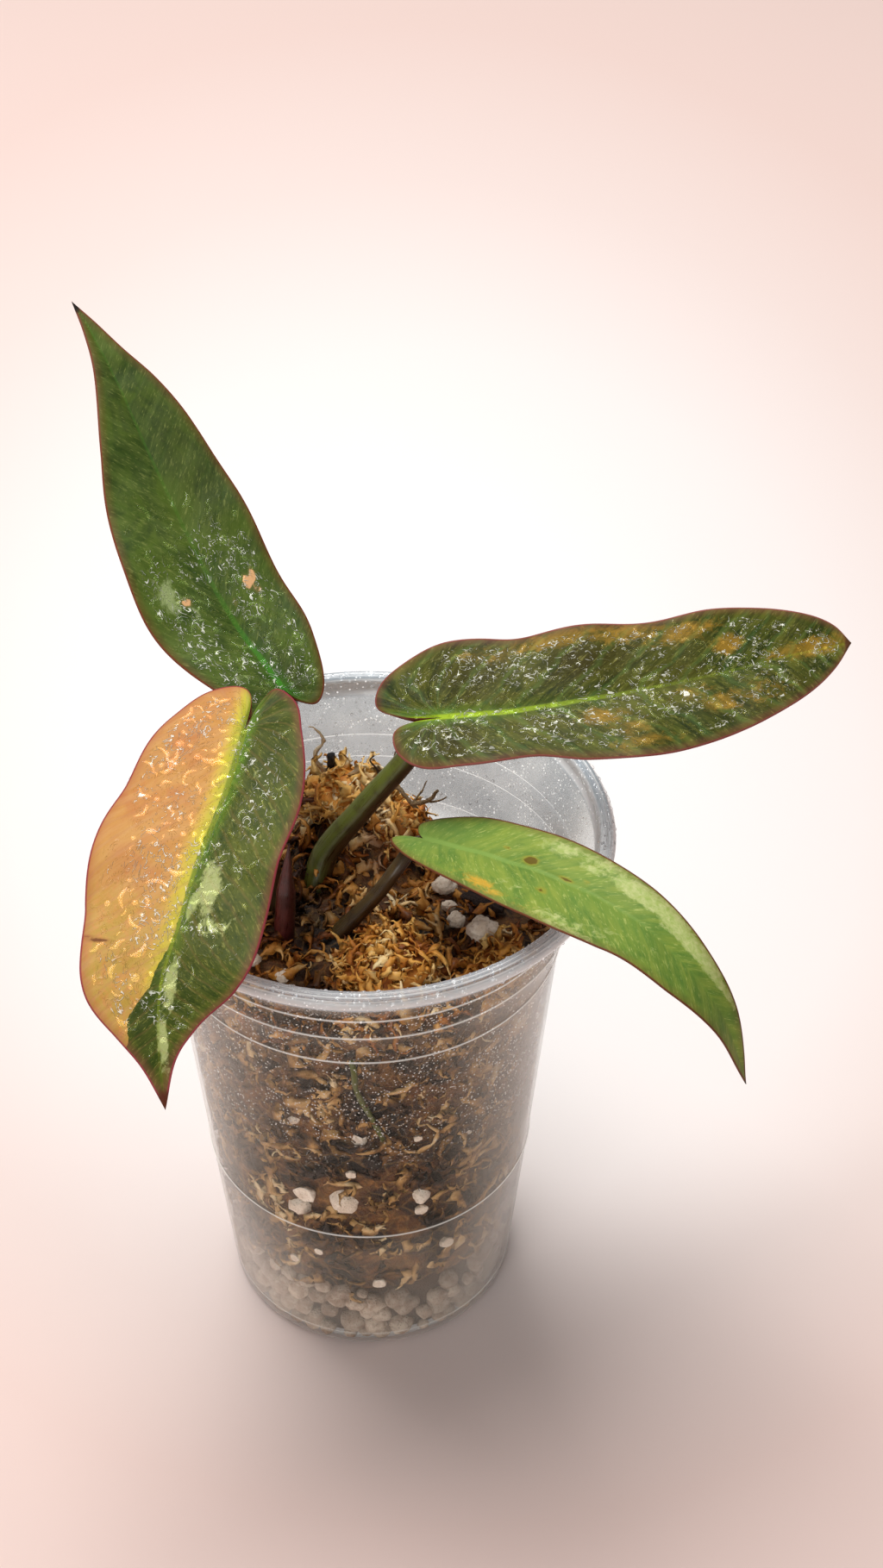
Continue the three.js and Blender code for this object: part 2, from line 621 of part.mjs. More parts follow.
BLADES.forEach((blade) => addPiece(blade.name, bladeSolid(blade), blade.colour, 0.35));
const shootSurroundings = joined([stemSolid(GAP), ...PETIOLES.map((petiole) => petioleSolid(petiole, GAP))]);
addPiece('new_shoot', largest(shootSolid(0).subtract(shootSurroundings)), STEM_RED, 0.4);
addPiece('dead_stub', stubSolid(0), BARK_BROWN, 0.8);
addPiece('twig', twigSolid(0), 0x7a6448, 0.9);

export default plant;
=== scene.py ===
# A young variegated philodendron in a clear plastic cup of sphagnum moss and pumice.
# Sizes are in millimetres and become metres as each mesh is made. The origin is the centre of the cup's
# underside, +Z is up, and the photograph looks along +Y.

import functools
import json
import math
import random

import bmesh
import bpy
import numpy as np
from mathutils import Matrix, Vector, noise

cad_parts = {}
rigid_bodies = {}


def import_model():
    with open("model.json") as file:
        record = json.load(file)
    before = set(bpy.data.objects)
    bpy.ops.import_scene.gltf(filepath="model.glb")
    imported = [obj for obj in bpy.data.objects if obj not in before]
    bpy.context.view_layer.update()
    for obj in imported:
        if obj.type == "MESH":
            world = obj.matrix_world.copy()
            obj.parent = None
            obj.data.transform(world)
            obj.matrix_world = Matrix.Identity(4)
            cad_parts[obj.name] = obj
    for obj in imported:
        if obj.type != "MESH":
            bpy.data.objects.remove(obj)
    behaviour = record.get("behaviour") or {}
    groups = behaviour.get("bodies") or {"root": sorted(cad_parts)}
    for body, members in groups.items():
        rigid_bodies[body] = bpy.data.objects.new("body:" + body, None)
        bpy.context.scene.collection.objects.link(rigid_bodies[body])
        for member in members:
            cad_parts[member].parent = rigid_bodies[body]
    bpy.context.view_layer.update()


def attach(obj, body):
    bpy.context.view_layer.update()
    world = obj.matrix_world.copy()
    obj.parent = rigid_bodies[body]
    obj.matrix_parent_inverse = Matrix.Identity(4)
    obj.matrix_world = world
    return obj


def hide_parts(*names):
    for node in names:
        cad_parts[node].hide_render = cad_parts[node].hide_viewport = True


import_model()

MM = 0.001
MERGE_DISTANCE = 0.002
UP = np.array([0.0, 0.0, 1.0])

# Camera, from the rim, rings and foot of the cup in the photograph
PHOTO_HEIGHT = 1819
FOCAL_PIXELS = 2873.5
SENSOR = 36.0
CAMERA_DISTANCE = 466.03
CAMERA_ELEVATION = math.radians(40.987)
CAMERA_AIM_HEIGHT = 117.9
CAMERA_TURNS = {"pitch": math.radians(0.963), "yaw": math.radians(1.829), "roll": math.radians(-1.288)}

# Cup
CUP_HEIGHT = 119.5
FOOT_RADIUS = 29.8
WALL_TAPER = 0.0859
WALL = 0.6
CUP_FLOOR = 1.0
CUP_SIDES = 168
RING_HEIGHTS = (39.3, 93.9)
RING_RISE = 0.3
SHOULDER = (40.0, 102.3)
COLLAR = (40.7, 107.4)
FLARE = (44.3, 115.4)
LIP_RADIUS = 47.5
LIP_WIDTH = 3.4
DRAIN_HOLES = 5
DRAIN_CIRCLE = 17.0
DRAIN_RADIUS = 2.4
LIP_MIDDLE = LIP_RADIUS - LIP_WIDTH / 2
LIP_RISE = (CUP_HEIGHT - FLARE[1]) / 2

# Potting mix
MIX_BOTTOM = 18.4
MIX_LEVEL = 99.5
MIX_WALL_GAP = 1.5
STONE_CLEARANCE = {"on_top": 1.2, "at_wall": 1.8}  # how far strands keep from stones
MIX_RELIEF = (  # swells and hollows: x, y, reach, rise
    (0, 20, 13, 9), (7, 12, 9, 5), (4, -24, 12, 4), (22, -16, 13, 2.5),
    (24, 24, 16, -9), (12, 35, 12, -7), (-10, -27, 7, -5), (-25, 1, 11, 1.5),
)
# Moss and stones: centre, then half their width, depth and height
MOSS_CLUMPS = {
    "front": [(4, -24, 105, 10, 8, 4.5)],
    "back": [(-2, 20, 109, 8.5, 8, 4.5), (6.5, 14, 107, 6, 6, 4)],
    "right": [(25, -22, 102.5, 6, 5, 3)],
}
SURFACE_PUMICE = (
    (22, -14, 104, 3.3, 2.6, 2.4), (17, -9.5, 102.5, 1.9, 1.7, 1.6), (15.5, 1.5, 101.6, 2.4, 2.1, 2),
    (16, -4, 101, 1.5, 1.3, 1.3), (-21, -17, 100.5, 1.5, 1.4, 1.3), (-15.5, -20.5, 99.6, 1.5, 1.3, 1.3),
)
WALL_PUMICE = (
    (-5.2, -30.3, 48, 3.3, 2.6, 4), (-1.9, -32.4, 68.3, 2, 1.9, 2.1), (-14, -27.2, 43.5, 2.8, 2.4, 2.6),
    (9.6, -29.8, 48, 1.8, 1.9, 2.5), (-14.4, -29.9, 71.3, 1.4, 1.5, 1.5),
)
WALL_GRIT = (
    (9.1, -33.6, 68.2, 0.9, 0.8, 0.8), (-3.9, -33.8, 58.5, 1.1, 0.8, 1.1),
    (-13.2, -30.5, 49.3, 2.4, 1.6, 2.2), (9.8, -31.4, 44.6, 1.4, 1.2, 1.3),
    (-15.9, -26.8, 25.5, 1.1, 1, 1.1), (1.2, -30.7, 21.5, 1.5, 1.2, 1.3), (-11, -30, 31, 1, 0.9, 1),
    (15, -27.5, 30, 1.6, 1.2, 1.4), (19, -26, 62, 1, 0.9, 1),
)
DRAINAGE_TOP = 18.0
DRAINAGE_LEVELS = (2.6, 6.0, 9.6, 13.2, 16.6)
DRAINAGE_AROUND = 46
DRAINAGE_LUMP = 2.7
DRAINAGE_GAPS = (0.14, 0.14, 0.14, 0.14, 0.45)  # share of stones left out, by level

# Leaves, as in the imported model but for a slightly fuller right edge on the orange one: the midrib, the
# two halves of the outline as (along, out) from the notch to just short of the tip, and where the upper
# face looks at the base and at the tip
VEIN_SLANT = 1.1
WAVE_WIDTH = 13.0
BLADE_ROWS = 170
BLADE_COLUMNS = 16
BLADE_THICKNESS = 0.6
BLADES = {
    1: {
        "fold": 8, "cupping": 0.004, "wave": 0.6,
        "rib": [
            (-14.5, 13.5, 141), (-25, 28, 149), (-34, 44, 159.5), (-40, 55.5, 167.5),
            (-45.5, 66.5, 175), (-50.5, 75, 181), (-54.5, 81, 185),
        ],
        "facing": [(0.2, -0.4, 0.9), (0.25, -0.45, 0.85)],
        "left": [
            (-4, 1.5), (-6.5, 4.5), (-4.5, 8.5), (2, 11), (11, 14), (22, 16), (34, 15.2),
            (46, 12.8), (58, 9), (68, 5.6), (76, 3), (83, 1.4),
        ],
        "right": [
            (-4, 1.2), (-6, 4), (-3, 7.5), (4, 10.5), (12, 12.5), (24, 13), (38, 13),
            (50, 12), (60, 10.3), (69, 7.5), (77, 4.2), (84, 1.9),
        ],
    },
    2: {
        "fold": 8, "cupping": 0.004, "wave": 0.6,
        "rib": [
            (-21, -2, 143.5), (-24.5, -17.5, 140.5), (-28.5, -29.5, 137.5), (-31.5, -41.5, 134),
            (-34.5, -51.5, 129.5), (-35, -60.5, 124), (-34, -69, 116.5),
        ],
        "facing": [(-0.15, -0.3, 0.94), (-0.15, -0.5, 0.85)],
        "left": [
            (-7, 1.6), (-10, 4), (-6.5, 8.5), (0, 11), (9, 13.5), (19, 14.6), (30, 14.8),
            (40, 15), (49, 15.2), (56, 13), (62, 7), (67.5, 2.8),
        ],
        "right": [
            (-8, 0.6), (-10, 4), (-7, 10), (0, 14.5), (9, 17), (20, 18.8), (31, 18.8),
            (41, 17.6), (50, 15.3), (57, 12.5), (63, 7.2), (68, 3.2),
        ],
    },
    3: {
        "fold": 8, "cupping": 0.004, "wave": 0.6,
        "rib": [
            (15, 8, 137.5), (27.5, 5.5, 140.5), (39.5, 5.5, 142.5), (52.5, 7.5, 143.5),
            (66.5, 11, 144), (80.5, 16, 144), (93, 21, 143),
        ],
        "facing": [(-0.05, -0.34, 0.94), (0.05, -0.4, 0.92)],
        "left": [
            (-8, 0.8), (-13, 3.5), (-11.5, 9.5), (-4, 14.5), (6, 16), (18, 15.4), (32, 15),
            (44, 13.6), (56, 13), (66, 11.2), (74, 8), (79, 4.4),
        ],
        "right": [
            (-6, 0.6), (-9, 3), (-7.5, 8), (-2, 11.5), (7, 11.8), (17, 10.6), (26, 13.2),
            (36, 15), (46, 14), (57, 12.3), (67, 9.2), (75, 5),
        ],
    },
    4: {
        "fold": 12, "cupping": 0, "wave": 0,
        "rib": [
            (11, -7, 121), (23.5, -18.5, 126), (35, -28, 128.5), (46.5, -38, 128.5),
            (55, -45.5, 124), (62, -49, 114.5), (67.5, -48.5, 97),
        ],
        "facing": [(-0.1, -0.1, 1), (0.75, -0.65, 0.1)],
        "left": [
            (-2, 1), (-2.5, 3), (2, 5.4), (10, 7.5), (20, 8), (32, 8), (44, 7.2),
            (56, 6), (66, 4.4), (75, 3), (84, 1.5), (88, 0.7),
        ],
        "right": [
            (-4, 0.8), (-5.5, 3), (0, 6), (9, 8.5), (20, 10.5), (32, 12), (44, 11.6),
            (56, 8.8), (66, 5.6), (75, 3.2), (84, 1.5), (88, 0.7),
        ],
    },
}
WAVES = 3
VEIN_LEAN = 0.55

# Markings of each leaf as soft spots: (along, across, reach along, reach across, strength), where
# across is negative on the left half. warm turns the leaf orange or ochre, pale turns it cream, dusk
# darkens it, and scar is dry tan or brown tissue.
MARKINGS = {
    1: {
        "warm": [(12, -9, 9, 5, 0.35), (60, 9, 16, 5, 0.3)],
        "pale": [(25, -9.5, 4, 2.2, 0.75), (21, -6, 3, 1.6, 0.4), (5, -6, 3, 3, 0.4)],
        "dusk": [(2.5, 1.5, 4, 2.5, 0.6), (50, 6, 14, 6, 0.4), (70, -2, 10, 4, 0.3)],
        "scar": [
            (22.7, 6.3, 1.4, 0.8, 1.2), (23.8, 7.9, 1.2, 0.6, 1.1), (20.4, 7.4, 0.8, 0.6, 1),
            (23, -6.8, 0.9, 0.8, 1.1), (19.8, 2, 0.45, 0.45, 1),
        ],
        "wet": [(6, 0, 20, 14, 1), (24, 0, 14, 16, 0.55)],
    },
    2: {
        "warm": [],
        "pale": [
            (35.5, -3.6, 5, 1.9, 0.95), (39.5, -1.4, 3, 1, 0.8), (42.5, -6.5, 2.2, 4.5, 0.5),
            (54, -1.6, 5, 1.3, 0.8), (64, -0.6, 6, 1.2, 0.7), (22, -9, 8, 3, 0.3), (11, -5, 6, 3, 0.3),
        ],
        "dusk": [(5, -6, 9, 4, 0.5), (48, -6, 8, 5, 0.45), (59, 2.5, 6, 2, 0.6)],
        "scar": [(49, 13, 0.4, 3, 0.9), (27.3, 9.6, 1.2, 0.3, 0.9), (30, 10.5, 0.4, 1, 0.6)],
        "wet": [(5, 9, 16, 10, 1), (20, 2, 18, 12, 0.7), (45, 3, 26, 14, 0.5)],
    },
    3: {
        "warm": [
            (56.6, -5.3, 3, 2, 1), (48.7, -9.6, 7, 2.2, 0.9), (72.5, -0.7, 9, 2, 0.95),
            (46.4, 2.6, 4, 2, 0.7), (29.5, 4.4, 5, 2, 0.85), (34, 8, 4, 2, 0.7), (24, -13, 12, 1.8, 0.9),
            (38, -12, 9, 2.2, 0.8), (10, -12, 8, 2.2, 0.6), (51, 6.3, 4, 2.2, 0.8), (35, 11.6, 6, 1.6, 0.8),
            (58, 6, 8, 4, 0.5),
        ],
        "pale": [(20, 2, 12, 1, 0.35), (50, 1, 10, 1.2, 0.3)],
        "dusk": [
            (29, -7.9, 9, 4, 0.8), (6, -8, 8, 5, 0.5), (2, 7, 5, 4, 0.6), (44, -4, 6, 3, 0.4),
            (60, 9, 10, 3, 0.4),
        ],
        "scar": [(47, -10.5, 1.6, 0.7, 0.5)],
        "wet": [(20, 0, 60, 20, 1)],
    },
    4: {
        "warm": [
            (20.6, 7.9, 2.8, 1.1, 1), (23.5, 9.3, 3.5, 1.2, 0.75), (17, 6.8, 5, 2, 0.4),
            (33, 10.4, 6, 2, 0.35),
        ],
        "pale": [
            (38, -5.9, 8, 1.6, 0.6), (49, -4.6, 9, 1.7, 0.95), (58, -3.6, 8, 1.4, 1),
            (66, -2.8, 7, 0.9, 0.8), (29, -5.8, 8, 2, 0.6), (37, -4.5, 4, 1.2, 0.6), (40, 10.5, 8, 3, 0.55),
            (47, 7.6, 6, 3, 0.4), (56, 3, 8, 2.5, 0.3), (26, 6, 8, 3, 0.35),
        ],
        "dusk": [
            (5, -3.4, 6, 1.8, 0.8), (23.6, 10.6, 3, 0.9, 0.5), (1, 2, 5, 3, 0.5), (44, 1.5, 9, 2.6, 0.45),
            (74, 0, 8, 2, 0.1),
        ],
        "scar": [
            (25.1, -1.5, 1.5, 0.75, 1), (33.3, -0.6, 1.6, 0.45, 0.75), (31.6, 4.5, 1.2, 0.7, 0.7),
            (19.1, -2.5, 0.8, 0.35, 0.7), (37, -1.6, 0.8, 0.4, 0.6),
        ],
        "wet": [],
    },
}

# Leaf stalks: radii at the base, halfway and at the blade
PETIOLES = {
    1: {
        "radii": (2.2, 1.9, 1.8),
        "path": [(-14, -2.5, 89), (-17, -1.5, 98), (-18, 0.5, 112), (-17, 4.5, 127)],
    },
    2: {
        "radii": (2.2, 1.9, 1.8),
        "path": [(-16, -5, 88), (-20.5, -6.8, 97), (-22, -6, 112), (-21.5, 1, 130), (-20.5, 3.5, 138)],
    },
    3: {
        "radii": (2.9, 2.3, 2),
        "path": [(-12.5, -1, 88), (-10, 3, 96), (-7.5, 6.5, 105.6), (-0.3, 7.5, 115.9), (7.5, 8.3, 126.2)],
    },
    4: {
        "radii": (2.2, 1.5, 1.4),
        "path": [(-11, -6, 88), (-6.5, -9, 97.5), (-2.6, -9.5, 102.9), (2.7, -9, 109.6), (6, -8.2, 114.5)],
    },
}
LONE_STRAND = [(-7, 24.5, 111), (-9.2, 25, 115), (-7.4, 25.5, 118.4), (-9, 25.5, 121.6), (-10.2, 25, 122.4)]
HAIR_PATH = [(3.4, 21.5, 110), (3, 22, 113.5), (1.6, 22, 116), (2.4, 22, 117.2)]
STEM_PATH = [(-11, -2, 60), (-13, -3, 78), (-14, -4, 92)]
STEM_RADIUS = 4.8
ROOT_RADIUS = 1.1
WALL_ROOT_RADIUS = 0.62
ROOTS = [
    [(-13, -4, 84), (-9, -20, 91), (-3.4, -36, 93), (-2.3, -35.7, 84), (0.6, -34.9, 75), (4, -32.3, 62)],
    [(-11, -2, 64), (2, -6, 54), (12, -4, 42), (16, 4, 27)],
    [(-11, -2, 64), (-16, 8, 52), (-14, 16, 38), (-6, 20, 25)],
]
SHOOT_PATH = [(-13.5, -7, 88), (-15.5, -9.5, 96), (-14.9, -8.5, 108), (-13.8, -7, 120.4)]
SHOOT_RADIUS = 1.9
BARK_AT = (22.5, -3.5, 101.2)
BARK_SIZE = (8, 3, 1.6)
BARK_TURN = -0.5
STUB_PATH = [(-6.4, 21, 104), (-6.2, 23.5, 110.5), (-6, 24.2, 116)]
STUB_RADIUS = 0.9
TWIG_RADIUS = 0.55
TWIGS = [
    [(2, 19, 108), (6.2, 17, 113.4), (9.5, 14, 111.5), (13, 11, 109)],
    [(9.5, 14, 111.5), (12.5, 13, 113), (14.5, 12.5, 116)],
]
FINE_TWIGS = [
    [(6.2, 17, 113), (7, 18.5, 116), (6.4, 19.5, 119), (7.3, 20, 121.5)],
    [(12.5, 13, 113), (14.5, 14, 112), (16.2, 13.5, 113.5)],
    [(9.5, 14, 111.5), (11.5, 15.5, 113.5), (12.4, 16, 115.5)],
    [(13, 11, 109), (14.8, 10, 110), (16, 10.6, 108.5)],
]


# Curves and meshes

def smooth(points, shares):
    """Points on the smooth curve through the given ones, at shares of its run from 0 to 1."""
    points = np.asarray(points, float)
    padded = np.vstack([2 * points[0] - points[1], points, 2 * points[-1] - points[-2]])
    run = np.clip(np.asarray(shares, float), 0, 1) * (len(points) - 1)
    index = np.minimum(run.astype(int), len(points) - 2)
    t = (run - index)[:, None]
    a, b, c, d = (padded[index + k] for k in range(4))
    square, cube = 2 * a - 5 * b + 4 * c - d, 3 * b - a - 3 * c + d
    return 0.5 * (2 * b + (c - a) * t + square * t ** 2 + cube * t ** 3)


def unit(vectors):
    return vectors / np.maximum(np.linalg.norm(vectors, axis=-1, keepdims=True), 1e-9)


class Route:
    """A smooth curve in space, read by the share of its length."""
    SAMPLES = 600
    STEP = 0.004

    def __init__(self, points):
        self.samples = smooth(points, np.linspace(0, 1, self.SAMPLES))
        steps = np.linalg.norm(np.diff(self.samples, axis=0), axis=1)
        self.run = np.concatenate([[0], np.cumsum(steps)])
        self.length = self.run[-1]

    def at(self, share):
        along = np.clip(share, 0, 1) * self.length
        return np.stack([np.interp(along, self.run, self.samples[:, k]) for k in range(3)], -1)

    def heading(self, share):
        share = np.asarray(share, float)
        return unit(self.at(share + self.STEP) - self.at(share - self.STEP))


def place_object(name, data):
    holder = bpy.data.objects.new(name, data)
    bpy.context.scene.collection.objects.link(holder)
    return holder


def make_piece(name, points, faces, material, attributes=None):
    """A smooth-shaded mesh from points in millimetres, with its doubles merged and faces turned out."""
    mesh = bpy.data.meshes.new(name)
    mesh.from_pydata((np.asarray(points) * MM).tolist(), [], faces)
    for key, values in (attributes or {}).items():
        values = np.asarray(values, np.float32)
        kind, field = ("FLOAT_VECTOR", "vector") if values.ndim == 2 else ("FLOAT", "value")
        mesh.attributes.new(key, kind, "POINT").data.foreach_set(field, values.ravel())
    finish_mesh(mesh)
    if material:
        mesh.materials.append(material)
    return place_object(name, mesh)


def finish_mesh(mesh):
    work = bmesh.new()
    work.from_mesh(mesh)
    bmesh.ops.remove_doubles(work, verts=work.verts, dist=MERGE_DISTANCE * MM)
    bmesh.ops.dissolve_degenerate(work, edges=work.edges, dist=1e-8)
    bmesh.ops.recalc_face_normals(work, faces=work.faces)
    for face in work.faces:
        face.smooth = True
    work.to_mesh(mesh)
    work.free()


def as_modified(piece, modifier):
    """The piece's mesh as its modifier leaves it. The modifier is then removed."""
    graph = bpy.context.evaluated_depsgraph_get()
    mesh = bpy.data.meshes.new_from_object(piece.evaluated_get(graph), depsgraph=graph)
    piece.modifiers.remove(modifier)
    return mesh


def grid_faces(rows, columns, wrap=False):
    """Quads of a grid of points stored row by row."""
    faces = []
    for near in range(0, (rows - 1) * columns, columns):
        far = near + columns
        for column in range(columns if wrap else columns - 1):
            after = (column + 1) % columns
            faces.append((near + column, near + after, far + after, far + column))
    return faces


def ribbon_faces(rows):
    """Faces of a strand with three points to a row, closed at both ends."""
    last = rows * 3
    return grid_faces(rows, 3, wrap=True) + [(0, 1, 2), (last - 1, last - 2, last - 3)]


def turned(profile, sides):
    """A closed profile of (radius, height) turned about Z: its points and quads."""
    angles = np.linspace(0, 2 * math.pi, sides, endpoint=False)
    rows = [np.stack([r * np.cos(angles), r * np.sin(angles), np.full(sides, z)], -1) for r, z in profile]
    return np.concatenate(rows), grid_faces(len(profile), sides, wrap=True)


def tube(path, radius_at, sides, steps, ridge=None):
    """A capped tube along a path: points, quads and, for each point, its share of the run and its angle."""
    route = Route(path)
    shares = np.linspace(0, 1, steps + 1)
    headings = route.heading(shares)
    side = np.cross(headings[0], UP if abs(headings[0][2]) < 0.9 else np.array([1.0, 0, 0]))
    angles = np.linspace(0, 2 * math.pi, sides, endpoint=False)
    rows = []
    for share, at, heading in zip(shares, route.at(shares), headings):
        side = unit(side - heading * np.dot(side, heading))
        over = np.cross(heading, side)
        swell = ridge(share, angles) if ridge else np.ones(sides)
        radius = (radius_at(share) * swell)[:, None]
        rows.append(at + radius * (np.cos(angles)[:, None] * side + np.sin(angles)[:, None] * over))
    ends = [np.repeat(route.at(share)[None], sides, 0) for share in (0.0, 1.0)]
    points = np.concatenate([ends[0], *rows, ends[1]])
    run = np.concatenate([np.zeros(sides), np.repeat(shares, sides), np.ones(sides)])
    return points, grid_faces(steps + 3, sides, wrap=True), run, np.tile(angles, steps + 3)


def join_parts(parts):
    """One list of points and one of faces from several."""
    points, faces, first = [], [], 0
    for some_points, some_faces in parts:
        points.append(some_points)
        faces.extend(tuple(first + index for index in face) for face in some_faces)
        first += len(some_points)
    return np.concatenate(points), faces


def roughen(points, size, depth, seed):
    """Moves points away from or towards the origin by smooth noise of the given size."""
    shift = Vector((seed * 7.3, seed * 3.1, seed * 5.7))
    pushes = [depth * noise.noise(Vector(point) / size + shift) for point in points]
    return points + unit(points) * np.array(pushes)[:, None]


def ball(level):
    """An even ball of radius 1: points and triangles."""
    work = bmesh.new()
    bmesh.ops.create_icosphere(work, subdivisions=level, radius=1)
    points = np.array([vert.co[:] for vert in work.verts])
    faces = [tuple(vert.index for vert in face.verts) for face in work.faces]
    work.free()
    return points, faces


def stone_points(base, centre, size, seed, knobs=0.24):
    """A knobbly stone: a ball pushed out into rounded lobes, then pitted."""
    shift = Vector((seed * 1.7, seed * 2.9, seed * 0.6))
    points = np.empty_like(base)
    for index, way in enumerate(base):
        direction = Vector(way)
        lobes = noise.noise(direction * 1.3 + shift)
        knots = abs(noise.noise(direction * 2.6 + shift * 2))
        pits = noise.noise(direction * 7 + shift)
        points[index] = way * (0.9 + knobs * lobes + 0.22 * knots + 0.03 * pits)
    return points * np.array(size) + np.array(centre)


def wall_radius(height):
    """The outside radius of the cup's straight wall."""
    return FOOT_RADIUS + WALL_TAPER * height


def ring_places():
    """Radius and height of each moulded line round the cup, from below to above."""
    return [(wall_radius(height), height) for height in RING_HEIGHTS] + [SHOULDER, COLLAR]


def keep_inside_cup(mesh, gap):
    """Draws in whatever would reach through the cup's wall."""
    points = np.empty(len(mesh.vertices) * 3, np.float32)
    mesh.vertices.foreach_get("co", points)
    points = points.reshape(-1, 3) / MM
    out = np.hypot(points[:, 0], points[:, 1])
    height = points[:, 2]
    profile = [
        (0, wall_radius(0)), (99, wall_radius(99)), (SHOULDER[1], SHOULDER[0]), (COLLAR[1], COLLAR[0]),
        (FLARE[1], FLARE[0]), (CUP_HEIGHT, FLARE[0]), (CUP_HEIGHT + 1, 200),
    ]
    room = np.interp(height, *zip(*profile)) - WALL - gap
    pull = np.minimum(1, room / np.maximum(out, 1e-6))
    points[:, 0] *= pull
    points[:, 1] *= pull
    mesh.vertices.foreach_set("co", (points * MM).ravel())
    mesh.update()


# Node trees

class Graph:
    """Adds nodes to a tree. An input may be given a plain value or another node's output."""

    def __init__(self, tree, family="ShaderNode"):
        self.tree = tree
        self.family = family

    def attach(self, socket, value):
        if isinstance(value, bpy.types.NodeSocket):
            self.tree.links.new(value, socket)
        else:
            socket.default_value = value

    def add(self, kind, inputs=None, **settings):
        full = kind if kind.startswith(("ShaderNode", "FunctionNode", "NodeGroup")) else self.family + kind
        node = self.tree.nodes.new(full)
        for key, value in settings.items():
            setattr(node, key, value)
        for key, value in (inputs or {}).items():
            self.attach(node.inputs[key], value)
        return node

    def fill(self, sockets, **values):
        """Attaches a value to each named socket. Names are written with underscores for spaces."""
        for key, value in values.items():
            self.attach(sockets[key.replace("_", " ")], value)

    def group(self, name, **inputs):
        node = self.add("ShaderNodeGroup", node_tree=bpy.data.node_groups[name])
        self.fill(node.inputs, **inputs)
        return node.outputs

    def maths(self, operation, *values):
        return self.add("ShaderNodeMath", dict(enumerate(values)), operation=operation).outputs[0]

    def times(self, *values):
        return functools.reduce(lambda first, second: self.maths("MULTIPLY", first, second), values)

    def plus(self, *values):
        return functools.reduce(lambda first, second: self.maths("ADD", first, second), values)

    def most(self, *values):
        return functools.reduce(lambda first, second: self.maths("MAXIMUM", first, second), values)

    def minus(self, first, second):
        return self.maths("SUBTRACT", first, second)

    def gap(self, first, second):
        """How far apart two values are."""
        return self.maths("ABSOLUTE", self.minus(first, second))

    def fade(self, value, low, high, start=0.0, end=1.0):
        """Goes smoothly from start to end as the value goes from low to high."""
        inputs = {"Value": value, "From Min": low, "From Max": high, "To Min": start, "To Max": end}
        return self.add("ShaderNodeMapRange", inputs, interpolation_type="SMOOTHSTEP").outputs[0]

    def mix(self, share, first, second):
        """Between two colours, each an output, a linear colour or a six-digit code."""
        first, second = (tone(colour) if isinstance(colour, str) else colour for colour in (first, second))
        return self.add("ShaderNodeMix", {0: share, 6: first, 7: second}, data_type="RGBA").outputs[2]

    def over(self, colour, *layers):
        """Lays colours over one another, each given as (share, colour)."""
        return functools.reduce(lambda below, layer: self.mix(layer[0], below, layer[1]), layers, colour)

    def noise(self, vector, scale, detail=2.0, roughness=0.5, distortion=0.0, output="Fac"):
        inputs = {"Vector": vector, "Scale": scale, "Detail": detail, "Roughness": roughness}
        return self.add("ShaderNodeTexNoise", {**inputs, "Distortion": distortion}).outputs[output]

    def cells(self, vector, scale, feature="F1"):
        node = self.add("ShaderNodeTexVoronoi", {"Vector": vector, "Scale": scale}, feature=feature)
        return node.outputs["Distance"]

    def ramp(self, value, stops):
        """A run of colours, as (place, code)."""
        node = self.add("ShaderNodeValToRGB", {0: value})
        elements = node.color_ramp.elements
        while len(elements) < len(stops):
            elements.new(0.5)
        for element, (place, code) in zip(elements, stops):
            element.position = place
            element.color = tone(code)
        return node.outputs[0]

    def length(self, x, y):
        return self.add("ShaderNodeVectorMath", {0: self.join(x, y)}, operation="LENGTH").outputs["Value"]

    def apart(self, place, spot):
        """How far a place is from a fixed spot."""
        return self.add("ShaderNodeVectorMath", {0: place, 1: spot}, operation="DISTANCE").outputs["Value"]

    def split(self, vector):
        return self.add("ShaderNodeSeparateXYZ", {0: vector}).outputs

    def join(self, x, y, z=0.0):
        return self.add("ShaderNodeCombineXYZ", {0: x, 1: y, 2: z}).outputs[0]

    def attribute(self, name, output="Fac"):
        return self.add("ShaderNodeAttribute", attribute_name=name).outputs[output]

    def place(self):
        """Where the surface is, in millimetres in the object's frame."""
        where = self.add("ShaderNodeTexCoord").outputs["Object"]
        return self.add("ShaderNodeVectorMath", {0: where, "Scale": 1 / MM}, operation="SCALE").outputs[0]

    def bump(self, height, strength, depth):
        """Relief of the given depth in millimetres."""
        inputs = {"Height": height, "Strength": strength, "Distance": depth * MM}
        return self.add("ShaderNodeBump", inputs).outputs[0]


def tone(code):
    """A linear colour from its usual six-digit code."""
    shares = [int(code[i:i + 2], 16) / 255 for i in (1, 3, 5)]
    return tuple(s / 12.92 if s <= 0.04045 else ((s + 0.055) / 1.055) ** 2.4 for s in shares) + (1.0,)


def new_material(name):
    material = bpy.data.materials.new(name)
    material.use_nodes = True
    tree = material.node_tree
    return material, Graph(tree), tree.nodes["Principled BSDF"]


def new_group(name, inputs, outputs, family="ShaderNode"):
    """A node group with named sockets: its graph, what comes in, and the sockets for what goes out."""
    tree = bpy.data.node_groups.new(name, family + "Tree")
    for direction, sockets in (("INPUT", inputs), ("OUTPUT", outputs)):
        for label, kind in sockets.items():
            tree.interface.new_socket(label, in_out=direction, socket_type="NodeSocket" + kind)
    graph = Graph(tree, family)
    return graph, graph.add("NodeGroupInput").outputs, graph.add("NodeGroupOutput").inputs


# Shared surface effects

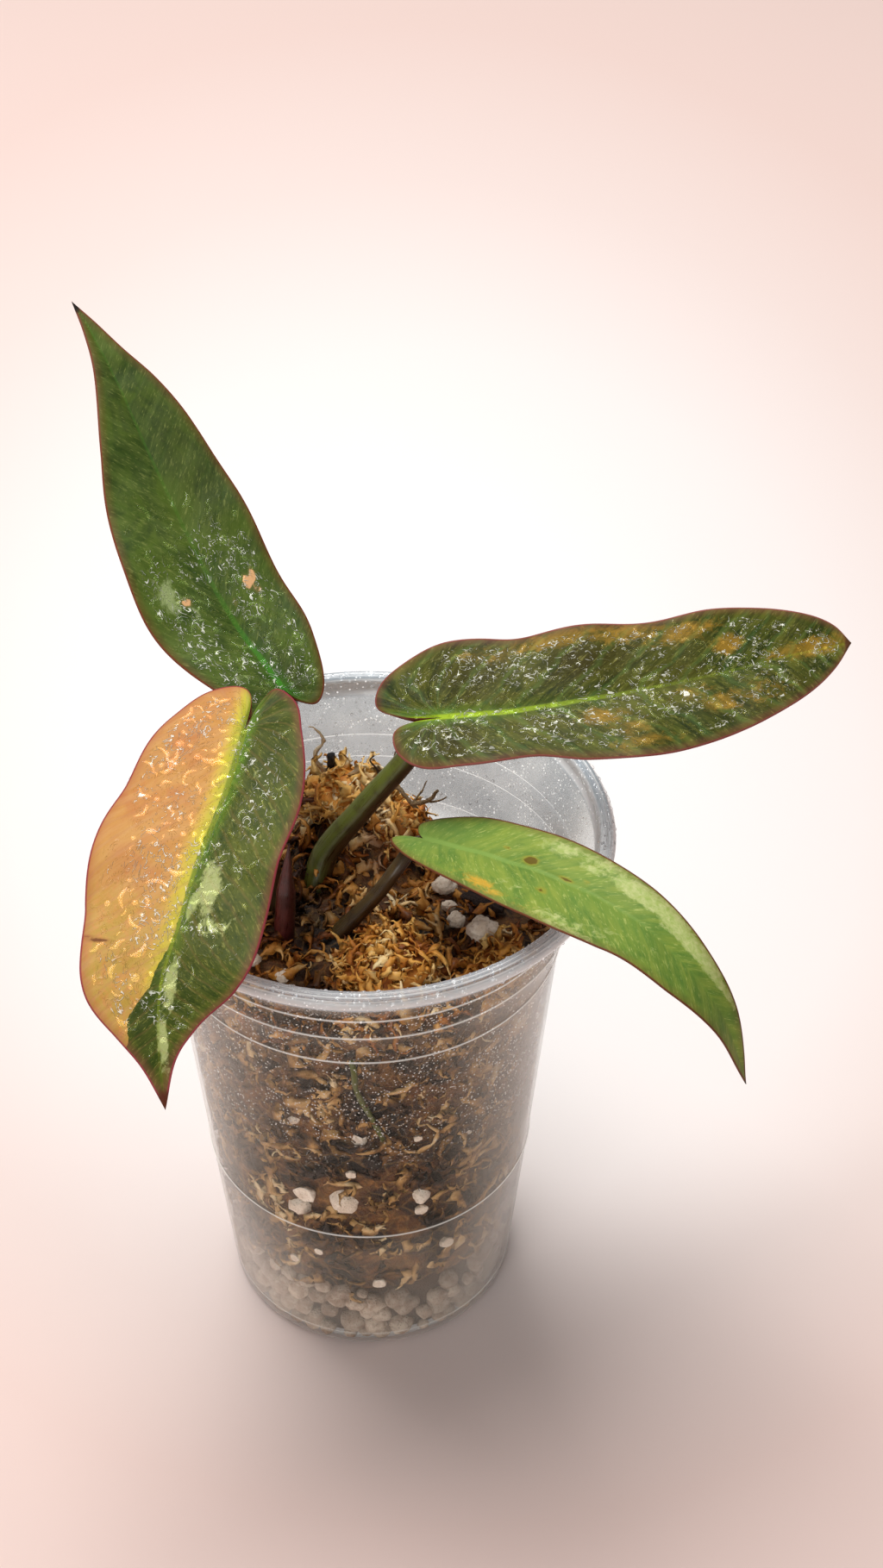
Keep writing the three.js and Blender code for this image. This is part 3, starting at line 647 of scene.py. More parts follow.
def build_leaf_group():
    """Leaf tissue: blotches, flecks and streaks that follow the side veins, and the veins' own lines. Vein
    holds, in millimetres, where the side vein through a point leaves the midrib, and how far out it is."""
    graph, given, out = new_group(
        "Leaf tissue", {"Flat": "Vector", "Vein": "Vector", "Spacing": "Float"},
        dict.fromkeys(("Blotches", "Streaks", "Flecks", "Mottle", "Lines", "Grain"), "Float"),
    )
    flat = given["Flat"]
    foot, reach, _ = graph.split(given["Vein"])
    along_veins = graph.join(graph.times(foot, 0.75), graph.times(reach, 0.12))
    fine_veins = graph.join(graph.times(foot, 2.6), graph.times(reach, 0.8))
    wander = graph.times(graph.noise(flat, 0.12, 2.0), 0.9)
    phase = graph.plus(graph.maths("DIVIDE", foot, given["Spacing"]), wander)
    graph.fill(
        out,
        Blotches=graph.fade(graph.noise(flat, 0.1, 4.0, 0.62, 0.9), 0.34, 0.66),
        Streaks=graph.fade(graph.noise(along_veins, 1.0, 4.0, 0.62, 0.5), 0.36, 0.7),
        Flecks=graph.fade(graph.noise(fine_veins, 1.0, 3.0, 0.7, 0.5), 0.54, 0.7),
        Mottle=graph.fade(graph.noise(flat, 0.85, 5.0, 0.7, 0.4), 0.3, 0.72),
        Lines=graph.fade(graph.gap(graph.maths("FRACT", phase), 0.5), 0.0, 0.16, 1.0, 0.0),
        Grain=graph.noise(flat, 2.6, 3.0, 0.6),
    )


def build_water_group():
    """The height of the film of water on a wet leaf."""
    graph, given, out = new_group("Water film", {"Flat": "Vector", "Wet": "Float"}, {"Height": "Float"})
    flat = given["Flat"]

    def beads(scale, width, spread):
        """Winding ridges of water, broken into short arcs."""
        wobble = graph.noise(flat, scale, 1.0, 0.4, 2.2)
        ridge = graph.fade(graph.gap(wobble, 0.5), 0.0, width, 1.0, 0.0)
        return graph.times(ridge, graph.fade(graph.noise(flat, scale * 1.7, 1.0), spread, spread + 0.06))

    water = graph.most(beads(0.3, 0.05, 0.47), graph.times(beads(0.5, 0.055, 0.54), 0.85))
    wetted = graph.fade(graph.plus(given["Wet"], graph.noise(flat, 0.2, 2.0)), 0.6, 0.95)
    patchy = graph.fade(graph.noise(flat, 0.11, 2.0, 0.6), 0.38, 0.54, 0.45, 1.0)
    graph.fill(out, Height=graph.times(wetted, patchy, water))


def build_earth_group():
    """Damp, pitted earth and stone: a broad mask, a fine one and pits."""
    graph, given, out = new_group(
        "Damp pits", {"Place": "Vector", "Size": "Float"}, dict.fromkeys(("Broad", "Fine", "Pits"), "Float"),
    )
    place = given["Place"]
    fineness = graph.maths("DIVIDE", 1.0, given["Size"])
    graph.fill(
        out,
        Broad=graph.noise(place, fineness, 4.0, 0.6, 0.4),
        Fine=graph.noise(place, graph.times(fineness, 7.0), 3.0, 0.7),
        Pits=graph.fade(graph.cells(place, graph.times(fineness, 5.0)), 0.1, 0.45),
    )


# Materials

# Leaf finishes, one column for each leaf
LEAF_SLOTS = ("leaf_dark", "leaf_orange", "leaf_mottled", "leaf_lime")
LEAF_LOOKS = {
    "spacing": (4.5, 2.6, 4.5, 4.5),
    "speckle": (0.6, 0.55, 0.5, 0.6),
    "streak": (0.35, 0.4, 0.6, 0.5),
    "veins": (0.06, 0.09, 0.16, 0.06),
    "rib_reach": (0.45, 0.9, 0.6, 0.55),
    "gloss": (0.5, 0.48, 0.48, 0.46),
}
LEAF_TONES = {
    "deep": ("#2a3e14", "#2b3c12", "#1f3010", "#587c34"),
    "body": ("#4c601e", "#4c561a", "#4a4a18", "#79943c"),
    "streak": ("#6e7c3c", "#777a30", "#747a2e", "#a8b04c"),
    "dusk": ("#36381a", "#36401a", "#33290c", "#638a42"),
    "fleck": ("#868e4c", "#9c994c", "#a09b54", "#c3cb74"),
    "warm": ("#55601f", "#cb924c", "#a07a28", "#e0a233"),
    "warm_deep": ("#4a5a1e", "#c38048", "#75601c", "#d0a036"),
    "warm_light": ("#76802e", "#dcae74", "#c89a44", "#e4b84a"),
    "pale": ("#8a9a62", "#a9b26c", "#6f8f50", "#a4b860"),
    "pale_light": ("#a5b27c", "#c0c48a", "#8aa468", "#d2d596"),
    "band": ("#7ea62c", "#e0c83c", "#a9bd2c", "#c3c44a"),
    "olive": ("#5f6a26", "#b09a40", "#7a7424", "#94903c"),
    "vein": ("#4b7030", "#c08a5e", "#6f9a52", "#7aa04e"),
    "glow": ("#2f7a16", "#6fa02c", "#6f9a3a", "#7a9a4a"),
    "rib": ("#3f8f1c", "#7c8a20", "#a2bf22", "#86a650"),
    "scar": ("#d9a877", "#7a4a22", "#b07c3a", "#6b5a1c"),
    "scar_ring": ("#6f6a3a", "#a8743c", "#7a6424", "#a0952f"),
    "under": ("#54201f", "#6a2624", "#541f20", "#6a3430"),
    "under_light": ("#5a3a26", "#74402a", "#5c3826", "#6f5a34"),
    "under_vein": ("#8a4a3c", "#9c5a46", "#8a4a3c", "#a06a50"),
    "margin": ("#7d3f2c", "#9a3d48", "#96524c", "#6f3528"),
    "tip": ("#1c1310", "#5a2c1c", "#5a3a24", "#3c2c1c"),
}
# Painted highlight: near-white laid on the ridges of the water film, standing for light caught on the wet
# leaf
PAINTED_WATER_HIGHLIGHT = "#f2f3ec"

STALK_TONES = {  # above, beneath and in the dark freckles; the darker tone beneath is partly the stalk's own colour and partly painted shade
    "red_stem": ("#5a2a22", "#3c1614", "#26100e"),
    "shoot_skin": ("#6d2f2b", "#431818", "#2c1210"),
    "stalk_1_skin": ("#5c5a2c", "#4a2a1c", "#3a2418"),
    "stalk_2_skin": ("#5e4a2c", "#4c241c", "#3a2018"),
    "stalk_3_skin": ("#66702a", "#3c2412", "#33240f"),
    "stalk_4_skin": ("#4e3e1e", "#38200f", "#2a1a12"),
}
BARK_TONES = {  # dark, light and the size of the grain
    "dark_rootlet": ("#1c140e", "#4a3826", 1.0),
    "dark_bark": ("#1f130f", "#4c3228", 1.4),
    "black_stub": ("#0c0a09", "#2c2420", 0.9),
    "dry_twig": ("#7a6040", "#bd9e72", 1.2),
}
STRAND_TONES = {  # from the darkest strand to the palest
    "strands_brown": [
        (0.0, "#40200c"), (0.2, "#8c4e16"), (0.42, "#bc7a2a"), (0.62, "#d89e50"), (0.82, "#e8c284"),
        (1.0, "#f2deb4"),
    ],
    "strands_golden": [
        (0.0, "#8a4c14"), (0.22, "#bc7424"), (0.45, "#d89c42"), (0.7, "#e6b868"), (1.0, "#f2daa4"),
    ],
    # The back clump's strands: paler than the golden ones, partly their own colour and partly painted light
    # that makes up for the shade the leaves cast on them
    "strands_back": [
        (0.0, "#c67a28"), (0.22, "#e8a446"), (0.45, "#f6c670"), (0.7, "#fbdb9c"), (1.0, "#fdf2d2"),
    ],
    "strands_pressed": [
        (0.0, "#1c110a"), (0.2, "#4e3218"), (0.4, "#8a6230"), (0.6, "#b68c50"), (0.8, "#d3ae78"),
        (1.0, "#e6cfa4"),
    ],
    "strand_tan": [(0.0, "#dcb67c"), (0.5, "#f0d3a0"), (1.0, "#fbe8c4")],
}


def leaf_material(column):
    """One leaf's finish, from its column of the tables. Its markings come from the mesh."""
    material, graph, shader = new_material(LEAF_SLOTS[column])
    tones = {key: codes[column] for key, codes in LEAF_TONES.items()}
    look = {key: values[column] for key, values in LEAF_LOOKS.items()}
    flat = graph.attribute("blade_flat", "Vector")
    along, across, edge = graph.split(flat)
    row, _, face = graph.split(graph.attribute("blade_side", "Vector"))
    out = graph.maths("ABSOLUTE", across)
    tissue = graph.group(
        "Leaf tissue", Flat=flat, Vein=graph.attribute("blade_vein", "Vector"), Spacing=look["spacing"],
    )
    ragged = graph.noise(flat, 0.45, 5.0, 0.68, 0.6)
    tatter = graph.minus(ragged, 0.5)

    def marked(key, low, high, raggedness):
        """A marking of the mesh, given a ragged edge."""
        return graph.fade(graph.plus(graph.attribute(key), graph.times(tatter, raggedness)), low, high)

    # The orange half
    half = marked("half", 0.46, 0.54, 0.9)
    outer = graph.times(graph.fade(along, 26.0, 52.0), graph.fade(ragged, 0.3, 0.6))
    half_tone = graph.over(
        graph.mix(graph.fade(out, 1.0, 4.2), tones["band"], tones["warm"]),
        (graph.times(tissue["Blotches"], graph.fade(out, 2.0, 8.0)), tones["warm_deep"]),
        (graph.times(outer, 0.65), tones["olive"]),
        (graph.times(tissue["Streaks"], 0.35), tones["warm_light"]),
        (graph.times(tissue["Flecks"], 0.22), tones["scar_ring"]),
    )

    # Side veins, midrib and the paler tissue beside it
    veins, reach = look["veins"], look["rib_reach"]
    lines = graph.times(tissue["Lines"], graph.fade(half, 0.0, 1.0, veins, veins * 3.5))
    width = graph.fade(along, 0.0, 70.0, 0.62, 0.25)
    rib = graph.times(
        graph.fade(graph.maths("DIVIDE", out, width), 0.5, 1.3, 1.0, 0.0),
        graph.fade(row, reach - 0.3, reach + 0.1, 0.95, 0.12),
    )
    glow = graph.times(
        graph.fade(out, 0.4, 3.0, 0.6, 0.0), graph.fade(row, 0.2, reach, 1.0, 0.05),
        graph.fade(ragged, 0.3, 0.6, 0.6, 1.0),
    )

    under = graph.over(
        graph.mix(tissue["Blotches"], tones["under"], tones["under_light"]),
        (graph.times(half, 0.7), tones["warm_light"]),
        (graph.times(graph.most(lines, rib), 0.6), tones["under_vein"]),
    )
    warm = graph.mix(tissue["Blotches"], tones["warm"], tones["warm_deep"])
    warm = graph.mix(graph.times(tissue["Streaks"], 0.55), warm, tones["warm_light"])
    pale = graph.mix(tissue["Mottle"], tones["pale"], tones["pale_light"])
    film = graph.group("Water film", Flat=flat, Wet=graph.attribute("wet"))["Height"]
    colour = graph.over(
        graph.mix(tissue["Blotches"], tones["deep"], tones["body"]),
        (graph.times(tissue["Streaks"], look["streak"]), tones["streak"]),
        (graph.attribute("dusk"), tones["dusk"]),
        (graph.times(tissue["Flecks"], look["speckle"]), tones["fleck"]),
        (graph.times(tissue["Mottle"], 0.25), tones["body"]),
        (graph.times(marked("warm", 0.3, 0.85, 1.5), 0.8), warm),
        (graph.times(marked("pale", 0.34, 0.62, 1.2), 0.8), pale),
        (half, half_tone),
        (lines, tones["vein"]),
        (glow, tones["glow"]),
        (rib, tones["rib"]),
        (graph.fade(graph.attribute("scar"), 0.15, 0.5, 0.0, 0.6), tones["scar_ring"]),
        (marked("scar", 0.45, 0.62, 0.35), tones["scar"]),
        (graph.fade(face, -0.2, 0.2, 1.0, 0.0), under),
        (graph.fade(edge, 0.2, 0.45, 0.9, 0.0), tones["margin"]),
        (graph.fade(edge, 0.3, 2.2, 0.28, 0.0), tones["margin"]),
        (graph.fade(graph.plus(row, graph.times(tatter, 0.02)), 0.965, 0.98), tones["tip"]),
        # Painted highlights: the water film's ridges are lightened towards a paler tone of the leaf, then
        # towards near-white, standing for light caught on the water
        (graph.times(film, 0.35), graph.mix(half, tones["fleck"], tones["warm_light"])),
        (graph.fade(film, 0.45, 0.85, 0.0, 0.65), PAINTED_WATER_HIGHLIGHT),
    )
    relief = graph.plus(graph.times(tissue["Grain"], 0.02), graph.times(tissue["Lines"], -0.1), film)
    rough = graph.plus(graph.times(tissue["Grain"], 0.2), look["gloss"] - 0.1)
    graph.fill(
        shader.inputs, Base_Color=colour, Normal=graph.bump(relief, 1.0, 0.13), Specular_IOR_Level=0.1,
        Roughness=graph.mix(graph.fade(film, 0.02, 0.3), rough, (0.12, 0.12, 0.12, 1)),
    )
    return material


def stalk_material(name, at_wall=None):
    """Smooth stalk: one colour above and a darker one beneath, partly its own colour and partly painted
    shade, with fine lengthwise streaks and dark freckles, and darker towards its base.
    """
    material, graph, shader = new_material(name)
    top, under, dusk = STALK_TONES[name]
    place, run = graph.place(), graph.attribute("run")
    lengthwise = graph.join(graph.attribute("angle"), graph.times(run, 1.6))
    streaks = graph.noise(lengthwise, 5.0, 4.0, 0.7)
    # Partly painted shade: the tone beneath falls where the stalk faces down, read from its topside
    wander = graph.plus(graph.attribute("topside"), graph.times(graph.minus(streaks, 0.5), 0.9))
    colour = graph.over(
        graph.mix(graph.fade(wander, -0.1, 0.7), under, top),
        (graph.fade(graph.noise(place, 0.35, 3.0), 0.45, 0.7, 0.0, 0.5), dusk),
        (graph.fade(graph.cells(place, 2.4), 0.12, 0.2, 0.6, 0.0), dusk),
        (graph.fade(run, 0.0, 0.3, 0.7, 0.0), dusk),
    )
    if at_wall:
        colour = graph.mix(graph.fade(graph.split(place)[1], -34.0, -31.0, 1.0, 0.0), colour, at_wall)
    relief = graph.plus(streaks, graph.times(graph.noise(place, 4.0, 2.0), 0.5))
    graph.fill(
        shader.inputs, Base_Color=colour, Roughness=graph.fade(streaks, 0.3, 0.7, 0.24, 0.44),
        Normal=graph.bump(relief, 0.5, 0.12), Coat_Weight=0.25, Coat_Roughness=0.1,
    )
    return material


def cup_material():
    """Clear moulded plastic: nearly see-through face on, milky at a slant, misted above the mix, whitish at
    its rings and lip.
    The lip's edges carry painted highlight lines, and the rings and mist dots give off a painted glow,
    stronger on the far wall."""
    material, graph, shader = new_material("clear_plastic")
    place = graph.place()
    x, y, z = graph.split(place)
    out = graph.length(x, y)

    def moulded(radius, height, near, far, most):
        """A whitish line round the outside of the wall."""
        level = graph.fade(graph.gap(z, height), near, far, most, 0.0)
        return graph.times(level, graph.fade(out, radius - 0.35, radius - 0.15))

    facing = graph.add("LayerWeight", {"Blend": 0.5}).outputs["Facing"]
    slant = graph.times(graph.fade(facing, 0.4, 1.0), graph.fade(z, 102.0, 110.0, 1.0, 0.6))
    cloud = graph.noise(place, 0.05, 4.0, 0.6, 0.5)
    fog = graph.times(graph.fade(cloud, 0.42, 0.7), graph.fade(z, 20.0, 75.0, 1.0, 0.25))
    mist = graph.times(
        graph.fade(z, 84.0, 97.0), graph.fade(y, -4.0, 16.0, 0.04, 1.0),
        graph.fade(cloud, 0.25, 0.7, 0.75, 1.0),
    )
    dots = graph.times(
        graph.fade(graph.cells(place, 1.2), 0.14, 0.26, 1.0, 0.0),
        graph.fade(graph.noise(place, 0.22, 2.0), 0.38, 0.55), graph.fade(z, 50.0, 74.0),
    )
    rings = moulded(wall_radius(4), 4.2, 0.1, 0.4, 0.75)
    for radius, height in ring_places():
        rings = graph.most(rings, moulded(radius, height + 0.1, 0.06, 0.28, 1.0))
    lip = graph.fade(z, FLARE[1] - 0.6, FLARE[1] + 0.4)
    # Painted highlight: pale lines along the lip's inner and outer edges stand for light caught on them
    rim_highlight = graph.most(graph.fade(out, 44.2, 44.9, 1.0, 0.0), graph.fade(out, 46.9, 47.4))
    streaks = graph.noise(graph.join(graph.times(out, 1.6), graph.times(z, 1.6)), 1.0, 2.0)
    streaks = graph.times(graph.most(graph.fade(streaks, 0.48, 0.62), graph.times(rim_highlight, lip)), lip)
    side = graph.times(graph.fade(x, 12.0, 30.0), graph.fade(y, 4.0, 20.0, 1.0, 0.0))

    amounts = (
        (slant, 0.4), (fog, 0.05), (mist, 0.43), (dots, 0.6), (rings, 0.46), (lip, 0.26), (streaks, 0.32),
        (side, 0.14),
    )
    solid = graph.plus(0.015, *(graph.times(mask, amount) for mask, amount in amounts))
    colour = graph.over(
        graph.mix(mist, "#e0dacb", "#7b868d"),
        (graph.most(rings, dots, slant), "#f4f2ec"), (lip, "#b0bcc6"), (streaks, "#f2f6f8"),
    )
    # Painted glow: the rings and the dots of mist give off light of their own, more on the far wall, though
    # the plastic is no lamp
    painted_glow = graph.most(rings, graph.times(dots, 0.6))
    painted_glow = graph.times(painted_glow, graph.fade(y, -4.0, 16.0, 0.26, 1.3))
    graph.fill(
        shader.inputs, Base_Color=colour, Alpha=graph.maths("MINIMUM", solid, 0.92), IOR=1.6,
        Roughness=graph.fade(cloud, 0.3, 0.7, 0.08, 0.18), Emission_Strength=1.0,
        Emission_Color=graph.mix(painted_glow, (0, 0, 0, 1), (1, 0.98, 0.95, 1)),
        Normal=graph.bump(graph.noise(place, 0.35, 2.0), 0.35, 0.15),
    )
    return material


def water_material():
    """Clear water drops, which let light through to what is beneath."""
    material, graph, shader = new_material("water")
    graph.fill(shader.inputs, Base_Color=(1, 1, 1, 1), Roughness=0.06, IOR=1.33, Transmission_Weight=1.0)
    lamps = graph.add("LightPath").outputs["Is Shadow Ray"]
    clear = graph.add("BsdfTransparent").outputs[0]
    mixed = graph.add("MixShader", {0: lamps, 1: shader.outputs[0], 2: clear}).outputs[0]
    graph.tree.links.new(mixed, graph.tree.nodes["Material Output"].inputs["Surface"])
    return material


def pumice_material(name, light, grey, stain):
    """Pale porous stone, damp in its hollows."""
    material, graph, shader = new_material(name)
    earth = graph.group("Damp pits", Place=graph.place(), Size=2.6)
    colour = graph.over(
        graph.mix(graph.fade(earth["Broad"], 0.35, 0.65), grey, light),
        (graph.fade(graph.attribute("tint"), 0.0, 2.0), stain),
        (graph.fade(earth["Fine"], 0.55, 0.8, 0.0, 0.45), stain),
        (graph.times(graph.minus(1.0, earth["Pits"]), 0.3), stain),
    )
    relief = graph.plus(graph.times(earth["Pits"], 0.8), earth["Fine"])
    graph.fill(shader.inputs, Base_Color=colour, Roughness=0.82, Normal=graph.bump(relief, 0.7, 0.2))
    return material


def moss_bed_material():
    """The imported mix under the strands: dark voids, umber and rust, with pale threads."""
    material, graph, shader = new_material("moss_brown")
    place = graph.place()
    earth = graph.group("Damp pits", Place=place, Size=8.0)
    warped = graph.mix(0.4, place, graph.noise(place, 0.2, 3.0, output="Color"))
    threads = graph.cells(warped, 0.5, "DISTANCE_TO_EDGE")
    stops = [(0.36, "#140d08"), (0.46, "#472a12"), (0.56, "#7a4a1e"), (0.66, "#9c6a30")]
    colour = graph.over(
        graph.ramp(earth["Broad"], stops),
        (graph.fade(threads, 0.02, 0.1, 0.5, 0.0), "#9a7440"),
        (graph.fade(earth["Fine"], 0.4, 0.7, 0.5, 0.0), "#120b07"),
    )
    relief = graph.plus(earth["Broad"], earth["Fine"])
    graph.fill(shader.inputs, Base_Color=colour, Roughness=0.7, Normal=graph.bump(relief, 1.0, 0.8))
    return material


def strand_material(name, patches=0.3, painted_shade_places=(), red_places=()):
    """Dried moss strands: each has its own tint, paler at its tip, and they change together in patches.
    Places are (x, y, z, reach): red places get rust-red stains, and painted shade places get a near-black
    painted shade for the shadow in hollows and by the stem."""
    material, graph, shader = new_material(name)
    place = graph.place()
    fibre = graph.noise(place, 1.8, 3.0, 0.6)
    own = graph.plus(
        graph.times(graph.attribute("tint"), 0.62), graph.times(graph.attribute("strand_share"), 0.22),
        graph.times(graph.minus(fibre, 0.5), 0.5),
    )
    broad = graph.fade(graph.noise(place, 0.085, 3.0, 0.6), 0.33, 0.67, -patches, patches)
    # Red places are rust-red stains of the moss; painted shade places get a near-black painted shade
    stains_and_painted_shade = [
        (graph.fade(graph.apart(place, spot), reach * 0.35, reach, most, 0.0), code)
        for places, code, most in ((red_places, "#8e3f12", 0.68), (painted_shade_places, "#1a100a", 0.8))
        for *spot, reach in places
    ]
    colour = graph.over(graph.ramp(graph.plus(own, broad), STRAND_TONES[name]), *stains_and_painted_shade)
    graph.fill(
        shader.inputs, Base_Color=colour, Roughness=graph.fade(fibre, 0.3, 0.7, 0.42, 0.7),
        Normal=graph.bump(fibre, 0.6, 0.2), Specular_IOR_Level=0.4,
    )
    return material


def bark_material(name):
    """Dark, rough plant remains."""
    material, graph, shader = new_material(name)
    dark, light, size = BARK_TONES[name]
    earth = graph.group("Damp pits", Place=graph.place(), Size=size)
    colour = graph.mix(graph.fade(earth["Fine"], 0.35, 0.7), dark, light)
    colour = graph.mix(graph.fade(earth["Broad"], 0.4, 0.7, 0.0, 0.5), colour, dark)
    relief = graph.plus(earth["Fine"], earth["Pits"])
    graph.fill(shader.inputs, Base_Color=colour, Roughness=0.6, Normal=graph.bump(relief, 0.9, 0.4))
    return material


def floor_material():
    """A plain pale floor, white round the plant and turning faintly pink further off, faster in front of it
    than behind it."""
    material, graph, shader = new_material("pale_floor")
    x, y, _ = graph.split(graph.place())
    spread = graph.most(graph.plus(187.0, graph.times(y, 0.267)), 90.0)
    away = graph.length(graph.minus(x, 20.0), graph.times(graph.minus(y, 155.0), 0.643))
    stops = [(0.22, "#fefdfd"), (0.5, "#f9f0ee"), (0.7, "#f2e0db"), (0.88, "#efd6cf"), (1.0, "#efd6cf")]
    colour = graph.ramp(graph.maths("DIVIDE", away, spread), stops)
    graph.fill(shader.inputs, Base_Color=colour, Roughness=0.7, Specular_IOR_Level=0.0)
    return material


# Scattered repeats

SCATTER_INPUTS = {
    "Geometry": "Geometry", "Shapes": "Collection", "Material": "Material", "Mask": "String",
    "Per square metre": "Float", "Spacing": "Float", "Smallest": "Float", "Largest": "Float",
    "Favour small": "Float", "Tilt": "Float", "Seed": "Int",
}


def build_scatter_group():
    """Sets shapes on a surface where its mask allows, turned, tilted and sized at random."""
    graph, given, out = new_group("Scatter", SCATTER_INPUTS, {"Geometry": "Geometry"}, "GeometryNode")

    def drawn(offset):
        """A number from 0 to 1 for each shape."""
        limits = {2: 0.0, 3: 1.0, "Seed": graph.plus(given["Seed"], float(offset))}
        return graph.add("FunctionNodeRandomValue", limits, data_type="FLOAT").outputs[1]

    mask = graph.add("InputNamedAttribute", {"Name": given["Mask"]}, data_type="FLOAT").outputs["Attribute"]
    spread = graph.add(
        "DistributePointsOnFaces",
        {"Mesh": given["Geometry"], "Distance Min": given["Spacing"],
         "Density Max": given["Per square metre"], "Density Factor": mask, "Seed": given["Seed"]},
        distribute_method="POISSON",
    ).outputs
    tilt, back = given["Tilt"], graph.times(given["Tilt"], -1.0)
    limits = {0: graph.join(back, back, -math.pi), 1: graph.join(tilt, tilt, math.pi), "Seed": given["Seed"]}
    turn = graph.add("FunctionNodeRandomValue", limits, data_type="FLOAT_VECTOR").outputs[0]
    turned_by = graph.add("FunctionNodeEulerToRotation", {0: turn}).outputs[0]
    rotation = graph.add(
        "FunctionNodeRotateRotation", {0: spread["Rotation"], 1: turned_by}, rotation_space="LOCAL",
    ).outputs[0]
    share = graph.maths("POWER", drawn(1), given["Favour small"])
    smallest = given["Smallest"]
    size = graph.plus(smallest, graph.times(share, graph.minus(given["Largest"], smallest)))
    shapes = graph.add(
        "CollectionInfo", {"Collection": given["Shapes"], "Separate Children": True, "Reset Children": True},
    ).outputs[0]
    placed = graph.add(
        "InstanceOnPoints",
        {"Points": spread["Points"], "Instance": shapes, "Pick Instance": True, "Rotation": rotation,
         "Scale": size},
    ).outputs[0]
    tinted = graph.add(
        "StoreNamedAttribute", {"Geometry": placed, "Name": "tint", "Value": drawn(2)},
        data_type="FLOAT", domain="INSTANCE",
    ).outputs[0]
    real = graph.add("RealizeInstances", {0: tinted}).outputs[0]
    dressed = graph.add("SetMaterial", {"Geometry": real, "Material": given["Material"]}).outputs[0]
    graph.fill(out, Geometry=dressed)


def scatter(name, ground, **inputs):
    """The scattered shapes as a piece of their own. Input names are written with underscores."""
    modifier = ground.modifiers.new("Scatter", "NODES")
    modifier.node_group = bpy.data.node_groups["Scatter"]
    for item in modifier.node_group.interface.items_tree:
        key = item.name.replace(" ", "_")
        if item.in_out == "INPUT" and key in inputs:
            modifier[item.identifier] = inputs[key]
    mesh = as_modified(ground, modifier)
    mesh.name = name
    return place_object(name, mesh)


def shape_set(name, pieces):
    """Keeps a few shapes in a collection that the scene doesn't show."""
    group = bpy.data.collections.new(name)
    for piece in pieces:
        bpy.context.scene.collection.objects.unlink(piece)
        group.objects.link(piece)
    return group


DROP_FORMS = (  # length, width, bend, wiggle
    (1, 1, 0, 0), (1.4, 1, 0.12, 0), (2.2, 0.75, 0.26, 0), (3, 0.6, 0.17, 0), (2.8, 0.6, -0.2, 0.25),
    (2.6, 0.6, 0.02, 0.5),
)


def drop_shapes():
    """Water drops as low domes with sunk undersides: round ones, beans and worms."""
    base, faces = ball(2)
    shapes = []
    for index, (length, width, bend, wiggle) in enumerate(DROP_FORMS):
        x, y, z = base.T
        long = x * length
        sideways = y * width + bend * long ** 2 + wiggle * np.sin(2.2 * long)
        points = np.stack([long, sideways, np.where(z > 0, z * 0.42, z * 0.2) * width ** 0.5], -1)
        shapes.append(make_piece(f"drop_{index}", points, faces, None))
    return shape_set("Drops", shapes)


def bead_shapes():
    base, faces = ball(1)
    return shape_set("Beads", [make_piece("bead", base * (1, 1, 0.6), faces, None)])


STRAND_SEED = 40
STRAND_FORMS = (  # how many, steps, length of a step, width, curl
    (5, 9, 0.66, 1.5, 1.1), (4, 8, 0.55, 2.1, 1.3), (3, 11, 0.8, 0.8, 0.9),
)


def strand_shape(name, seed, steps, pace, width, curl):
    """A curled, flat strand with ragged edges that starts below the surface and arches over along it."""
    draw = random.Random(seed)
    at = np.array([0.0, 0.0, -0.5])
    bend = draw.choice((-1, 1)) * draw.uniform(0.12, 0.45) * curl
    heading, climb, twist = 0.0, draw.uniform(0.3, 1.0), draw.uniform(-0.5, 0.5)
    points, shares = [], []
    for step in range(steps + 1):
        share = step / steps
        level = math.cos(climb)
        ahead = np.array([level * math.cos(heading), level * math.sin(heading), math.sin(climb)])
        side = unit(np.cross(ahead, UP))
        over = np.cross(side, ahead)
        flat = side * math.cos(twist) + over * math.sin(twist)
        crown = over * math.cos(twist) - side * math.sin(twist)
        full = width * min(1, 0.5 + 2 * share) * max(0.12, 1 - share ** 2.5)
        points += [
            at + flat * full * draw.uniform(0.2, 0.8), at + crown * full * 0.2,
            at - flat * full * draw.uniform(0.2, 0.8),
        ]
        shares += [share] * 3
        at = at + ahead * pace * draw.uniform(0.8, 1.2)
        heading += bend + draw.gauss(0, 0.3) * curl
        climb = max(-1.0, min(1.3, climb + draw.gauss(-0.2, 0.34) * curl))
        twist += draw.gauss(0, 0.45)
    return make_piece(name, points, ribbon_faces(steps + 1), None, {"strand_share": shares})


def strand_shapes():
    forms = [form for count, *form in STRAND_FORMS for _ in range(count)]
    return shape_set("Strands", [
        strand_shape(f"strand_{index}", STRAND_SEED + index, *form) for index, form in enumerate(forms)
    ])


# The cup and what fills it

def ring_profile(radius, height):
    """A thin moulded ring standing out from the wall, from below to above."""
    return [
        (radius + WALL_TAPER * s * RING_RISE + RING_RISE * math.exp(-s * s), height + s * RING_RISE)
        for s in np.linspace(-2, 2, 9)
    ]


def lip_point(angle, swell=1.0):
    """A point of the rolled lip's section, at an angle up from its outermost point."""
    across, up = LIP_WIDTH / 2 * swell * math.cos(angle), LIP_RISE * swell * math.sin(angle)
    return LIP_MIDDLE + across, CUP_HEIGHT - LIP_RISE + up


